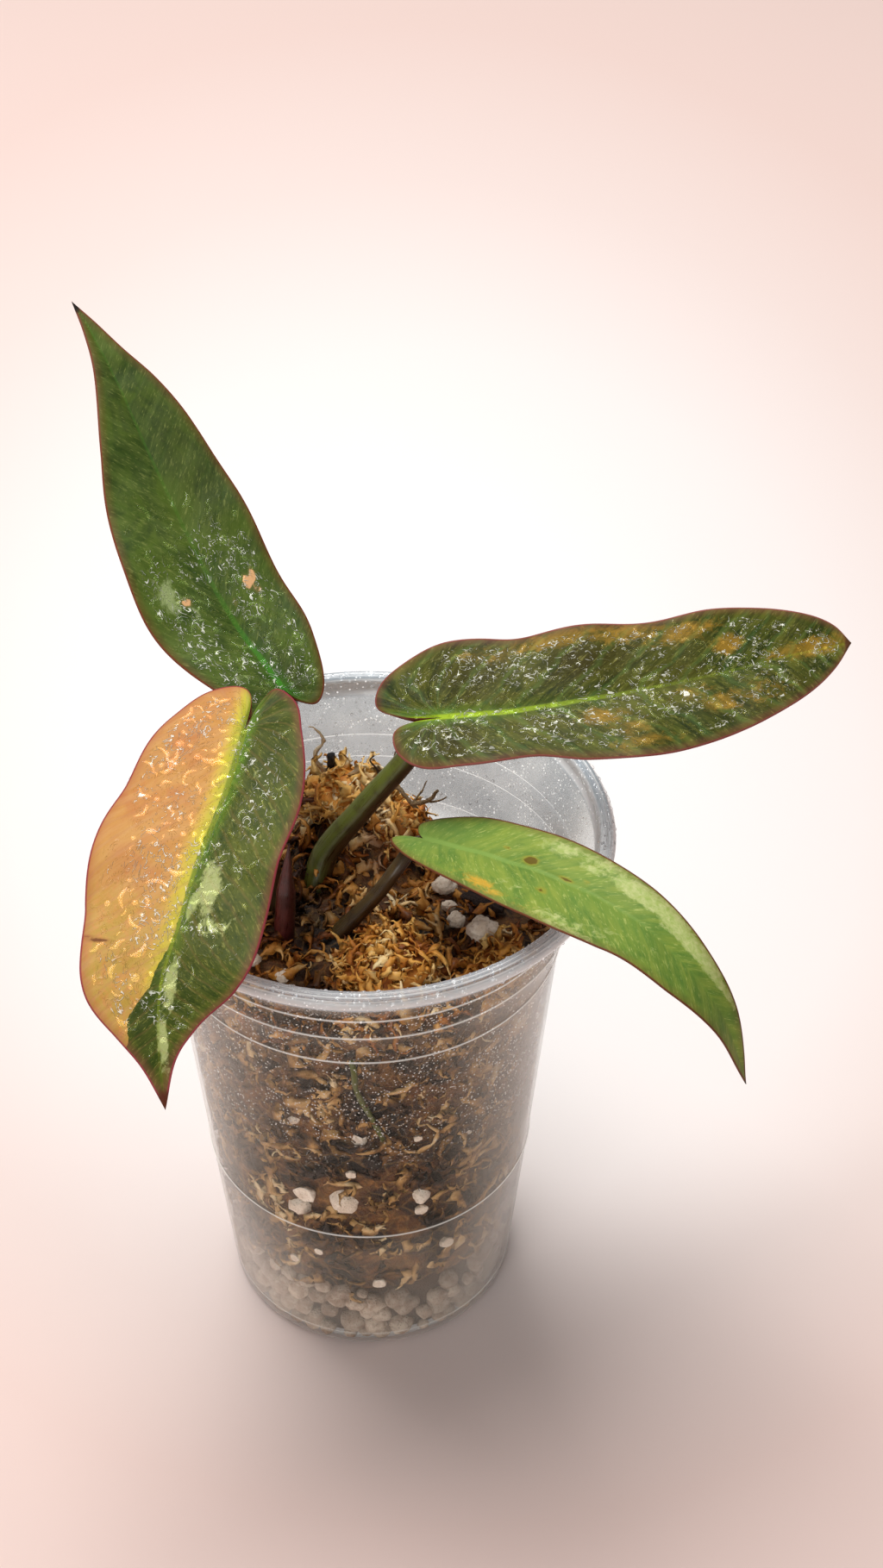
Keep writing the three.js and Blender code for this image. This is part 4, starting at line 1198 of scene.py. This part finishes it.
def cup_profile():
    """The cup's section, from the middle of its foot up the outside, over the lip and down the inside."""
    profile = [(0, 0), (FOOT_RADIUS - 2.2, 0)]
    for angle in np.linspace(0.1, 1.4, 6):
        profile.append((FOOT_RADIUS - 2 + 1.9 * math.sin(angle), 1.9 - 1.9 * math.cos(angle)))
    for ring in ring_places():
        profile += ring_profile(*ring)
    profile.append(FLARE)
    for angle in np.linspace(-1.2, math.pi + 0.5, 25):
        profile.append(lip_point(angle, 1 - 0.1 * math.sin(2.5 * angle) ** 2))
    return profile + [
        (FLARE[0] - WALL, FLARE[1] + 0.3), (COLLAR[0] - WALL + 0.1, COLLAR[1] + 0.6),
        (COLLAR[0] - WALL - 0.15, COLLAR[1] - 0.4), (SHOULDER[0] - WALL + 0.1, SHOULDER[1] + 0.6),
        (SHOULDER[0] - WALL - 0.2, SHOULDER[1] - 0.6), (wall_radius(95) - WALL, 95),
        (wall_radius(40) - WALL, 40), (wall_radius(3) - WALL, 3), (FOOT_RADIUS - WALL - 0.6, 1.5),
        (FOOT_RADIUS - WALL - 1.6, CUP_FLOOR), (0, CUP_FLOOR),
    ]


def make_cup(material):
    cup = make_piece("cup_shell", *turned(cup_profile(), CUP_SIDES), material)
    hole, faces = turned([(0, -2), (DRAIN_RADIUS, -2), (DRAIN_RADIUS, 3), (0, 3)], 24)
    angles = [2 * math.pi * index / DRAIN_HOLES for index in range(DRAIN_HOLES)]
    holes = [(hole + DRAIN_CIRCLE * np.array([math.cos(a), math.sin(a), 0]), faces) for a in angles]
    drill = make_piece("drill", *join_parts(holes), None)
    cut = cup.modifiers.new("Drain holes", "BOOLEAN")
    cut.object = drill
    cut.operation = "DIFFERENCE"
    cut.solver = "EXACT"
    mesh = cup.data = as_modified(cup, cut)
    bpy.data.objects.remove(drill)
    level = [abs(face.normal.z) > 0.9 and face.center.z < 2 * MM for face in mesh.polygons]
    mesh.polygons.foreach_set("use_smooth", [not flat for flat in level])
    return cup


def face_towards(band, way):
    """Turns an open band's faces, all together, to the side where way(face) is positive."""
    if sum(way(face) for face in band.data.polygons) < 0:
        band.data.flip_normals()


def make_condensation(beads, water):
    """Fine beads inside the wall, above the mix and behind the front, and on the lip."""
    profile = [
        (wall_radius(52) - WALL, 52), (wall_radius(70) - WALL, 70), (wall_radius(95) - WALL, 95),
        (SHOULDER[0] - WALL, SHOULDER[1]), (COLLAR[0] - WALL, COLLAR[1]), (FLARE[0] - WALL, FLARE[1]),
    ]
    rows = []
    for (r0, z0), (r1, z1) in zip(profile, profile[1:]):
        rows += [(r0 + (r1 - r0) * t, z0 + (z1 - z0) * t) for t in np.linspace(0, 1, 6, endpoint=False)]
    points, faces = turned(rows, 96)
    front = np.clip(-points[:, 1] / 30, 0, 1)
    high = np.clip((points[:, 2] - 92) / 8, 0, 1)
    middle = np.clip((points[:, 2] - 56) / 26, 0, 1) * (0.25 + 0.75 * front)
    patches = np.array([0.5 + noise.noise(Vector(point) / 9) for point in points])
    cover = np.clip(np.maximum(high, middle) * (0.3 + patches), 0, 1)
    wall = make_piece("wall_band", points, faces, None, {"beads": cover})
    face_towards(wall, lambda face: -face.normal.dot(Vector((face.center.x, face.center.y, 0))))
    inner = scatter(
        "beads_inside", wall, Shapes=beads, Material=water, Mask="beads", Per_square_metre=300000.0,
        Spacing=0.00045, Smallest=0.1, Largest=0.32, Favour_small=3.0, Tilt=0.0, Seed=3,
    )
    points, faces = turned([lip_point(a) for a in np.linspace(-0.5, math.pi + 0.3, 8)], 128)
    lip = make_piece("lip_band", points, faces, None, {"beads": np.ones(len(points))})
    face_towards(lip, lambda face: face.normal.z)
    outer = scatter(
        "beads_lip", lip, Shapes=beads, Material=water, Mask="beads", Per_square_metre=380000.0,
        Spacing=0.0005, Smallest=0.15, Largest=0.5, Favour_small=2.0, Tilt=0.0, Seed=9,
    )
    for helper in (wall, lip):
        bpy.data.objects.remove(helper)
    return join_objects("condensation", [inner, outer])


def join_objects(name, objects):
    """Joins objects that all sit at the origin."""
    with bpy.context.temp_override(active_object=objects[0], selected_editable_objects=objects):
        bpy.ops.object.join()
    objects[0].name = name
    objects[0].data.name = name
    return objects[0]


def surface_height(x, y):
    """How high the mix stands at a spot."""
    return MIX_LEVEL + sum(
        rise * math.exp(-((x - cx) ** 2 + (y - cy) ** 2) / reach ** 2) for cx, cy, reach, rise in MIX_RELIEF
    )


def make_mix(material):
    """The moss bed's core: its hummocked top and its lumpy side behind the wall."""
    sectors, rings, levels = 150, 42, 48
    top_radius = wall_radius(MIX_LEVEL) - WALL - MIX_WALL_GAP
    bottom_radius = wall_radius(MIX_BOTTOM) - WALL - MIX_WALL_GAP
    profile = [(0, MIX_BOTTOM)] + [
        (bottom_radius + (top_radius - bottom_radius) * s, MIX_BOTTOM + (MIX_LEVEL - MIX_BOTTOM) * s)
        for s in np.linspace(0, 1, levels)
    ]
    profile += [(top_radius * ring / rings, MIX_LEVEL) for ring in range(rings - 1, -1, -1)]
    points, faces = turned(profile, sectors)
    first_top = levels * sectors
    on_top, at_wall = np.zeros(len(points)), np.zeros(len(points))
    for index, (x, y, z) in enumerate(points):
        rough = noise.noise(Vector((x, y, z)) / 3.5) + 0.5 * noise.noise(Vector((x, y, z)) / 1.3)
        height = surface_height(x, y)
        if index >= first_top:
            points[index, 2] = height + 1.1 * rough - 0.6
            on_top[index] = 1
            shrink = 1 + WALL_TAPER * min(0, height - MIX_LEVEL) / top_radius
            if math.hypot(x, y) > top_radius - 1:
                points[index, :2] *= shrink
        elif z > MIX_BOTTOM + 0.1:
            depth = min(height, MIX_LEVEL + 3) - MIX_BOTTOM
            sunk = MIX_BOTTOM + (z - MIX_BOTTOM) * depth / (MIX_LEVEL - MIX_BOTTOM)
            out = (wall_radius(sunk) - WALL - MIX_WALL_GAP + 0.8 * rough) / math.hypot(x, y)
            points[index] = (x * out, y * out, sunk)
            at_wall[index] = 0.3 + 0.7 * max(0, min(1, 0.5 + 1.6 * noise.noise(Vector((x, y, z)) / 11)))
    masks = {"on_top": on_top, "at_wall": at_wall}  # where strands may grow: not over the stones
    for key, stones in (("on_top", SURFACE_PUMICE), ("at_wall", WALL_PUMICE + WALL_GRIT)):
        for x, y, z, width, _, height in stones:
            away = np.linalg.norm(points - (x, y, z), axis=1)
            masks[key][away < max(width, height) + STONE_CLEARANCE[key]] = 0
    return make_piece("potting_mix", points, faces, material, masks)


def make_clump(name, cores, material, shapes, density, seed, largest):
    """A mound of looser moss: rough cores thick with curled strands."""
    base, faces = ball(4)
    parts = []
    for index, (x, y, z, width, depth, height) in enumerate(cores):
        points = stone_points(base, (x, y, z), (width * 0.92, depth * 0.92, height * 0.92), seed + index, 0.2)
        parts.append((points, faces))
    points, faces = join_parts(parts)
    mask = np.array([float(z > surface_height(x, y) - 1.0) for x, y, z in points])
    core = make_piece(name, points, faces, material, {"on_top": mask})
    strands = scatter(
        name + "_strands", core, Shapes=shapes, Material=material, Mask="on_top", Per_square_metre=density,
        Spacing=0.0003, Smallest=0.55, Largest=largest, Favour_small=1.4, Tilt=0.9, Seed=seed,
    )
    return join_objects(name, [core, strands])


def make_drainage(material):
    """The layer of pumice at the bottom, stones packed against the wall round a plain core."""
    base, faces = ball(2)
    draw = random.Random(71)
    parts, tints = [], []
    for level, height in enumerate(DRAINAGE_LEVELS):
        for index in range(DRAINAGE_AROUND):
            if draw.random() < DRAINAGE_GAPS[level]:
                continue
            size = DRAINAGE_LUMP * draw.uniform(0.5, 1.15)
            angle = 2 * math.pi * (index + 0.5 * (level % 2) + draw.uniform(-0.25, 0.25)) / DRAINAGE_AROUND
            out = wall_radius(height) - WALL - size * 0.74
            up = max(height + draw.uniform(-1.2, 1.2), size * 0.8 + 1.2)
            centre = (out * math.cos(angle), out * math.sin(angle), up)
            sizes = (size, size, size * draw.uniform(0.8, 1))
            points = stone_points(base, centre, sizes, 30 * level + index, 0.4)
            parts.append((points, faces))
            tints.append(np.full(len(points), draw.random()))
    core_radius = wall_radius(2) - WALL - 2.4
    core = turned([(0, 1.3), (core_radius, 1.3), (core_radius, DRAINAGE_TOP), (0, DRAINAGE_TOP)], 48)
    parts.append(core)
    tints.append(np.full(len(core[0]), 2.0))
    points, faces = join_parts(parts)
    points[:, 2] = np.clip(points[:, 2], CUP_FLOOR + 0.2, DRAINAGE_TOP + 3.5)
    stones = make_piece("drainage_stones", points, faces, material, {"tint": np.concatenate(tints)})
    keep_inside_cup(stones.data, 0.1)
    return stones


def make_stones(name, stones, material, seed, level):
    """Pumice stones, each (x, y, z, width, depth, height), as one piece."""
    base, faces = ball(level)
    parts = [(stone_points(base, stone[:3], stone[3:], seed + i), faces) for i, stone in enumerate(stones)]
    points, faces = join_parts(parts)
    piece = make_piece(name, points, faces, material, {"tint": np.zeros(len(points))})
    keep_inside_cup(piece.data, 0.1)
    return piece


# The plant

def blade_frame(blade, along):
    """Where the midrib is, which way it runs and which way the blade faces, at distances along it."""
    rib = Route(blade["rib"])
    share = np.clip(along / rib.length, 0, 1)
    heading = rib.heading(share)
    facing = np.outer(1 - share, blade["facing"][0]) + np.outer(share, blade["facing"][1])
    facing = unit(facing - heading * np.sum(facing * heading, -1, keepdims=True))
    return rib.at(share) + heading * (along - share * rib.length)[:, None], heading, facing


def spots(markings, along, across):
    """How strongly soft spots mark each point."""
    level = np.zeros_like(along)
    for at, over, reach, breadth, strength in markings:
        away = ((along - at) / reach) ** 2 + ((across - over) / breadth) ** 2
        level = np.maximum(level, strength * np.exp(-away * 0.7))
    return level


def orange_half(along, out, right):
    """1 on the right half down to the slanting border near the tip, and 0 elsewhere."""
    border = np.interp(along, [-20, 46, 50, 55, 60, 64, 90], [0.15, 0.15, 0.9, 1.8, 5.2, 5.0, 30])
    return np.where(right, np.clip(0.5 + (out - border) / 1.2, 0, 1), 0)


def make_leaf(number, material):
    blade = BLADES[number]
    length = Route(blade["rib"]).length
    rows = np.linspace(0, 1, BLADE_ROWS + 1)
    edges = {side: smooth([(0, 0), *blade[side], (length, 0)], rows) for side in ("left", "right")}
    middle = np.clip((edges["left"][:, 0] + edges["right"][:, 0]) / 2 / length, 0, 1)
    foot = length * middle ** VEIN_SLANT
    even = np.linspace(0, 1, BLADE_COLUMNS + 1)
    steps = np.sin(np.linspace(0, math.pi / 2, BLADE_COLUMNS + 1)) * 0.5 + even * 0.5
    shares = np.concatenate([-steps[:0:-1], steps])
    right = np.broadcast_to(shares >= 0, (BLADE_ROWS + 1, len(shares)))
    edge_along = np.where(right, edges["right"][:, :1], edges["left"][:, :1])
    edge_out = np.where(right, edges["right"][:, 1:], edges["left"][:, 1:])
    size = np.abs(shares)
    along = (foot[:, None] + (edge_along - foot[:, None]) * size).ravel()
    out = (edge_out * size).ravel()
    edge = ((1 - size) * np.hypot(edge_along - foot[:, None], edge_out)).ravel()
    row = np.repeat(rows, len(shares))
    right = right.ravel()
    sign = np.where(right, 1.0, -1.0)
    across = out * sign

    fold = math.radians(blade["fold"])
    phase = np.where(right, 0.0, 1.3)
    ripple = blade["wave"] * np.sin(2 * math.pi * WAVES * along / length + phase)
    ripple *= np.minimum(1.3, out / WAVE_WIDTH) ** 2
    at, heading, facing = blade_frame(blade, along)
    sideways = np.cross(heading, facing)
    rise = out * math.sin(fold) - blade["cupping"] * out ** 2 + ripple
    at = at + sideways * (across * math.cos(fold))[:, None] + facing * rise[:, None]

    run = np.clip(along / length, 0, 1)
    inland = np.clip(edge / 3, 0, 1)
    pleats = np.cos(2 * math.pi * 13 * row) * inland * np.clip(out / 3, 0, 1)
    swell = np.array([noise.noise(Vector((a, b, number * 9)) / 6) for a, b in zip(along, across)]) * inland
    half = BLADE_THICKNESS / 2 * np.sqrt(np.clip(edge / 0.8, 0.12, 1))
    groove = 0.34 * np.exp(-(out / 0.8) ** 2) * (1 - run) ** 0.5
    relief = 0.09 * pleats + 0.22 * swell
    rib_depth = (1.35 * np.exp(-run * 2.6) + 0.15) * (1 - run) ** 0.4
    rib_width = 0.75 + 0.55 * np.exp(-run * 3)
    bulge = rib_depth * np.exp(-(out / rib_width) ** 2) * np.clip(edge / 1.5, 0, 1)
    upper = at + facing * (half - groove + relief)[:, None]
    lower = at - facing * (half + bulge - relief)[:, None]

    count, width = len(at), len(shares)
    faces = grid_faces(BLADE_ROWS + 1, width)
    faces += [tuple(count + index for index in face) for face in grid_faces(BLADE_ROWS + 1, width)]
    for column in (0, width - 1):
        for step in range(BLADE_ROWS):
            near, far = step * width + column, (step + 1) * width + column
            faces.append((near, far, count + far, count + near))
    flat = np.stack([along, across, edge], -1)
    slant = VEIN_LEAN * out * np.clip((row - 0.08) * 4, 0, 1)
    vein = np.stack([row * length - slant, out, np.zeros(count)], -1)
    sides = [np.stack([row, across, np.full(count, face)], -1) for face in (1.0, -1.0)]
    marks = {key: spots(places, along, across) for key, places in MARKINGS[number].items()}
    wet = marks.pop("wet") * np.clip(edge / 2 - 0.7, 0, 1)
    marks["half"] = orange_half(along, out, right) if number == 2 else np.zeros(count)
    marks.update(blade_flat=flat, blade_vein=vein)
    attributes = {key: np.concatenate([values, values]) for key, values in marks.items()}
    attributes["wet"] = np.concatenate([wet, wet * 0])
    attributes["blade_side"] = np.concatenate(sides)
    return make_piece(f"leaf_{number}", np.concatenate([upper, lower]), faces, material, attributes)


def tube_piece(name, parts, material):
    """One piece from tubes, with the attributes that stalk finishes read."""
    points, faces = join_parts([part[:2] for part in parts])
    run, angle = (np.concatenate([part[field] for part in parts]) for field in (2, 3))
    attributes = {"run": run, "angle": angle, "topside": np.zeros(len(points))}
    piece = make_piece(name, points, faces, material, attributes)
    mesh = piece.data
    normals = np.empty(len(mesh.vertices) * 3, np.float32)
    mesh.vertices.foreach_get("normal", normals)
    # How far each point faces up, tilted a little to the left and front, for the stalks' tone beneath, which
    # is partly painted shade
    up = normals.reshape(-1, 3) @ np.array([-0.25, -0.1, 0.96], np.float32)
    mesh.attributes["topside"].data.foreach_set("value", up)
    return piece


def make_stalk(number, material):
    """A leaf stalk with a shallow channel along its top, widening into its base."""
    petiole, blade = PETIOLES[number], BLADES[number]
    base, middle, end = petiole["radii"]
    at, heading, facing = (values[0] for values in blade_frame(blade, np.array([0.0])))
    under = at - facing * (BLADE_THICKNESS / 2 + 0.15 + end * 0.9)
    path = [
        *petiole["path"], under - heading * 2.5 - facing * 0.5, under + heading * 3,
        at + heading * 9 - facing * 1.05,
    ]
    total = Route(path).length

    def radius(share):
        plain = np.interp(share, [0, 0.45, 1 - 9 / total, 1], [base * 1.08, middle, end, 0.75])
        return plain * (1 + 0.1 * math.exp(-((share - 1 + 11 / total) / 0.04) ** 2))

    def channel(_, angles):
        return 1 - 0.06 * np.exp(-((angles - math.pi / 2) / 0.45) ** 2) + 0.015 * np.cos(5 * angles)

    return tube_piece(f"stalk_{number}", [tube(path, radius, 28, 90, channel)], material)


def make_shoot(material):
    """The rolled new leaf, pointed, with the overlapping edge winding up it."""
    def radius(share):
        return SHOOT_RADIUS * min(1, 3.2 * (1 - share)) * (1.1 - 0.35 * share) + 0.12

    def roll(share, angles):
        around = (angles + 2.4 * share) % (2 * math.pi) / (2 * math.pi)
        return 0.92 + 0.16 * around

    return tube_piece("shoot", [tube(SHOOT_PATH, radius, 48, 80, roll)], material)


def make_stem(material):
    """The short stem with its leaf scars, and its roots."""
    def stem(share):
        return STEM_RADIUS * (1 - 0.25 * share ** 4) * (1 + 0.05 * math.sin(share * 40))

    def root(share, full=ROOT_RADIUS):
        return full * (1.25 - 0.45 * share) * (1 + 0.08 * math.sin(share * 55))

    def wall_root(share):
        return root(share, WALL_ROOT_RADIUS)

    parts = [tube(STEM_PATH, stem, 28, 40), tube(ROOTS[0], wall_root, 14, 60)]
    parts += [tube(path, root, 14, 60) for path in ROOTS[1:]]
    return tube_piece("stem_roots", parts, material)


def make_stub(material):
    """The black stub of an old stalk, worn lumpy."""
    points, faces, *_ = tube(STUB_PATH, lambda share: STUB_RADIUS * (1 - 0.12 * share), 14, 26)
    axis = Route(STUB_PATH).at(np.clip((points[:, 2] - 104) / 12, 0, 1))
    lumps = np.array([noise.noise(Vector(point) / 0.9) for point in points])
    points = axis + (points - axis) * (1 + 0.35 * lumps)[:, None]
    return make_piece("dead_stalk_stub", points, faces, material)


def make_twigs(material):
    """A dry twig with fine side branches."""
    def branch(share):
        return TWIG_RADIUS * (1 - 0.45 * share)

    def fine(share):
        return 0.28 * (1 - 0.6 * share)

    parts = [tube(path, branch, 10, 30)[:2] for path in TWIGS]
    parts += [tube(path, fine, 7, 16)[:2] for path in FINE_TWIGS]
    points, faces = join_parts(parts)
    moved = [
        point + [0.22 * noise.noise(Vector(point) / 1.2 + Vector((k * 9, 0, 0))) for k in range(3)]
        for point in points
    ]
    return make_piece("dry_twig_branches", moved, faces, material)


def make_lone_strand(material):
    """The one long flat strand that stands up behind the stub, ragged and twisted."""
    draw = random.Random(5)
    route = Route(LONE_STRAND)
    steps = 24
    points, shares = [], []
    for share in (step / steps for step in range(steps + 1)):
        at, heading = route.at(share), route.heading(share)
        side = unit(np.cross(heading, np.array([0.3 * math.sin(4 * share), 1, 0.2])))
        width = 0.75 * (1 - 0.75 * share) * draw.uniform(0.6, 1.3)
        points += [
            at + side * width, at + np.cross(side, heading) * 0.2, at - side * width * draw.uniform(0.5, 1.2),
        ]
        shares += [share] * 3
    attributes = {"strand_share": shares, "tint": [1.3] * len(points)}
    return make_piece("lone_strand", points, ribbon_faces(steps + 1), material, attributes)


def make_hair(material):
    points, faces, *_ = tube(HAIR_PATH, lambda share: 0.26 * (1 - 0.5 * share), 8, 24)
    return make_piece("dark_hair", points, faces, material)


def make_bark(material):
    """The dark chip of bark: a ball squared off, roughened and turned."""
    base, faces = ball(4)
    points = np.sign(base) * np.abs(base) ** 0.6 * np.array(BARK_SIZE) * 0.56
    points = roughen(points, 1.6, 0.6, 4)
    points[:, 2] += 0.25 * np.sin(points[:, 1] * 5)
    cos, sin = math.cos(BARK_TURN), math.sin(BARK_TURN)
    turn = np.array([[cos, -sin, 0], [sin, cos, 0], [0, 0, 1]])
    return make_piece("bark_piece", points @ turn.T + np.array(BARK_AT), faces, material)


# Stage

FLOOR_SPAN = 8000
LAMP_AIM = (0, 0, 80)
LAMPS = (  # name, place, aim, size, watts, colour
    ("window", (-260, 460, 1400), LAMP_AIM, 950, 21.5, (1, 0.985, 0.96)),
    ("front", (-450, -1250, 560), LAMP_AIM, 900, 6.6, (1, 0.99, 0.97)),
)
WORLD_STRENGTH = 0.2


def add_camera():
    def turn(first, second, angle):
        cos, sin = math.cos(angle), math.sin(angle)
        return first * cos + second * sin, second * cos - first * sin

    aim = Vector((0, 0, CAMERA_AIM_HEIGHT))
    eye = aim + CAMERA_DISTANCE * Vector((0, -math.cos(CAMERA_ELEVATION), math.sin(CAMERA_ELEVATION)))
    ahead = (aim - eye).normalized()
    right = ahead.cross(Vector((0, 0, 1))).normalized()
    above = right.cross(ahead)
    ahead, above = turn(ahead, above, CAMERA_TURNS["pitch"])
    ahead, right = turn(ahead, right, CAMERA_TURNS["yaw"])
    right, above = turn(right, above, CAMERA_TURNS["roll"])
    camera = bpy.data.cameras.new("camera")
    camera.sensor_fit = "VERTICAL"
    camera.sensor_height = SENSOR
    camera.lens = FOCAL_PIXELS / PHOTO_HEIGHT * SENSOR
    camera.clip_start = 0.01
    holder = place_object("camera", camera)
    holder.matrix_world = Matrix.Translation(eye * MM) @ Matrix((right, above, -ahead)).transposed().to_4x4()
    bpy.context.scene.camera = holder


def add_lamp(name, at, aim, size, watts, colour):
    lamp = bpy.data.lights.new(name, "AREA")
    lamp.size = size * MM
    lamp.energy = watts
    lamp.color = colour
    holder = place_object(name, lamp)
    holder.location = Vector(at) * MM
    holder.rotation_euler = (Vector(aim) - Vector(at)).to_track_quat("-Z", "Y").to_euler()


def add_stage():
    span = FLOOR_SPAN / 2
    corners = [(-span, -span, 0), (span, -span, 0), (span, span, 0), (-span, span, 0)]
    floor = make_piece("floor", corners, [(0, 1, 2, 3)], floor_material())
    for lamp in LAMPS:
        add_lamp(*lamp)
    world = bpy.data.worlds.new("studio")
    world.use_nodes = True
    background = world.node_tree.nodes["Background"].inputs
    background["Color"].default_value = (1, 0.99, 0.98, 1)
    background["Strength"].default_value = WORLD_STRENGTH
    bpy.context.scene.world = world
    bpy.context.scene.view_settings.view_transform = "Standard"


def settle(piece, slot, *nodes):
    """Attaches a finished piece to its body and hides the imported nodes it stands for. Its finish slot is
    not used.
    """
    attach(piece, "root")
    if nodes:
        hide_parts(*nodes)


CLUMPS = (  # name, finish of its strands, how many to a square metre, the largest, seed
    ("front", "strands_golden", 800000.0, 1.35, 11),
    # The back clump wears the paler strands, partly painted light for the leaves' shade
    ("back", "strands_back", 700000.0, 1.5, 23),
    ("right", "strands_golden", 800000.0, 1.3, 37),
)


def build_filling(pumice, strands):
    """The mix with its moss and stones, and the loose remains on it."""
    mix = make_mix(moss_bed_material())
    # The painted shade darkens the strands in the hollow at the front left and round the foot of the stem
    brown = strand_material(
        "strands_brown", painted_shade_places=[(-9, -26, 102, 8), (-12, -4, 98, 10)], red_places=[(5, 9, 104, 10)],
    )
    surface = scatter(
        "surface_strands", mix, Shapes=strands, Material=brown, Mask="on_top", Per_square_metre=340000.0,
        Spacing=0.0004, Smallest=0.6, Largest=1.7, Favour_small=1.5, Tilt=0.5, Seed=5,
    )
    keep_inside_cup(surface.data, 0.15)
    pressed = scatter(
        "wall_strands", mix, Shapes=strands, Material=strand_material("strands_pressed", patches=0.42),
        Mask="at_wall", Per_square_metre=240000.0, Spacing=0.0004, Smallest=0.6, Largest=2.3,
        Favour_small=1.5, Tilt=0.25, Seed=8,
    )
    keep_inside_cup(pressed.data, 0.12)
    settle(mix, "moss_brown", "moss_bed")
    settle(surface, "moss_brown")
    settle(pressed, "moss_brown")
    finishes = {
        "strands_golden": strand_material("strands_golden"),
        "strands_back": strand_material("strands_back", red_places=[(5, 12, 104, 9)]),
    }
    for name, finish, density, largest, seed in CLUMPS:
        clump = make_clump(
            f"{name}_moss", MOSS_CLUMPS[name], finishes[finish], strands, density, seed, largest,
        )
        keep_inside_cup(clump.data, 0.15)
        settle(clump, "moss_golden", f"moss_clump_{name}")
    for where, stones, seed, level in (("surface", SURFACE_PUMICE, 50, 4), ("wall", WALL_PUMICE, 80, 3)):
        for index, stone in enumerate(stones, 1):
            piece = make_stones(f"{where}_stone_{index}", [stone], pumice, seed + index, level)
            settle(piece, "pumice", f"pumice_{where}_{index}")
    settle(make_stones("wall_grit", WALL_GRIT, pumice, 120, 3), "pumice")
    settle(make_lone_strand(strand_material("strand_tan", patches=0.1)), "moss_golden")
    settle(make_hair(bark_material("dark_rootlet")), "dry_twig")
    settle(make_bark(bark_material("dark_bark")), "dark_bark", "bark_chip")
    settle(make_stub(bark_material("black_stub")), "dark_bark", "dead_stub")
    settle(make_twigs(bark_material("dry_twig")), "dry_twig", "twig")


def build_plant(water, drops):
    settle(make_stem(stalk_material("red_stem", at_wall="#525a16")), "red_stem", "stem_and_roots")
    settle(make_shoot(stalk_material("shoot_skin")), "red_stem", "new_shoot")
    for number, slot in enumerate(LEAF_SLOTS, 1):
        stalk = make_stalk(number, stalk_material(f"stalk_{number}_skin"))
        settle(stalk, "petiole_green", f"petiole_{number}")
        leaf = make_leaf(number, leaf_material(number - 1))
        if MARKINGS[number]["wet"]:
            wet = scatter(
                f"leaf_{number}_drops", leaf, Shapes=drops, Material=water, Mask="wet",
                Per_square_metre=300000.0, Spacing=0.0015, Smallest=0.22, Largest=0.85, Favour_small=1.3,
                Tilt=0.0, Seed=60 + number,
            )
            settle(wet, slot)
        settle(leaf, slot, f"blade_{number}")


def build():
    build_leaf_group()
    build_water_group()
    build_earth_group()
    build_scatter_group()
    water = water_material()
    strands, drops, beads = strand_shapes(), drop_shapes(), bead_shapes()
    settle(make_cup(cup_material()), "clear_plastic", "cup")
    settle(make_condensation(beads, water), "clear_plastic")
    damp = pumice_material("drainage_pumice_damp", "#e2cfba", "#ae927c", "#4a301f")
    settle(make_drainage(damp), "pumice", "drainage_pumice")
    build_filling(pumice_material("pumice", "#fff3e2", "#e6d4be", "#b0967a"), strands)
    build_plant(water, drops)
    for group in (strands, drops, beads):
        for shape in list(group.objects):
            bpy.data.objects.remove(shape)
        bpy.data.collections.remove(group)


add_camera()
add_stage()
build()
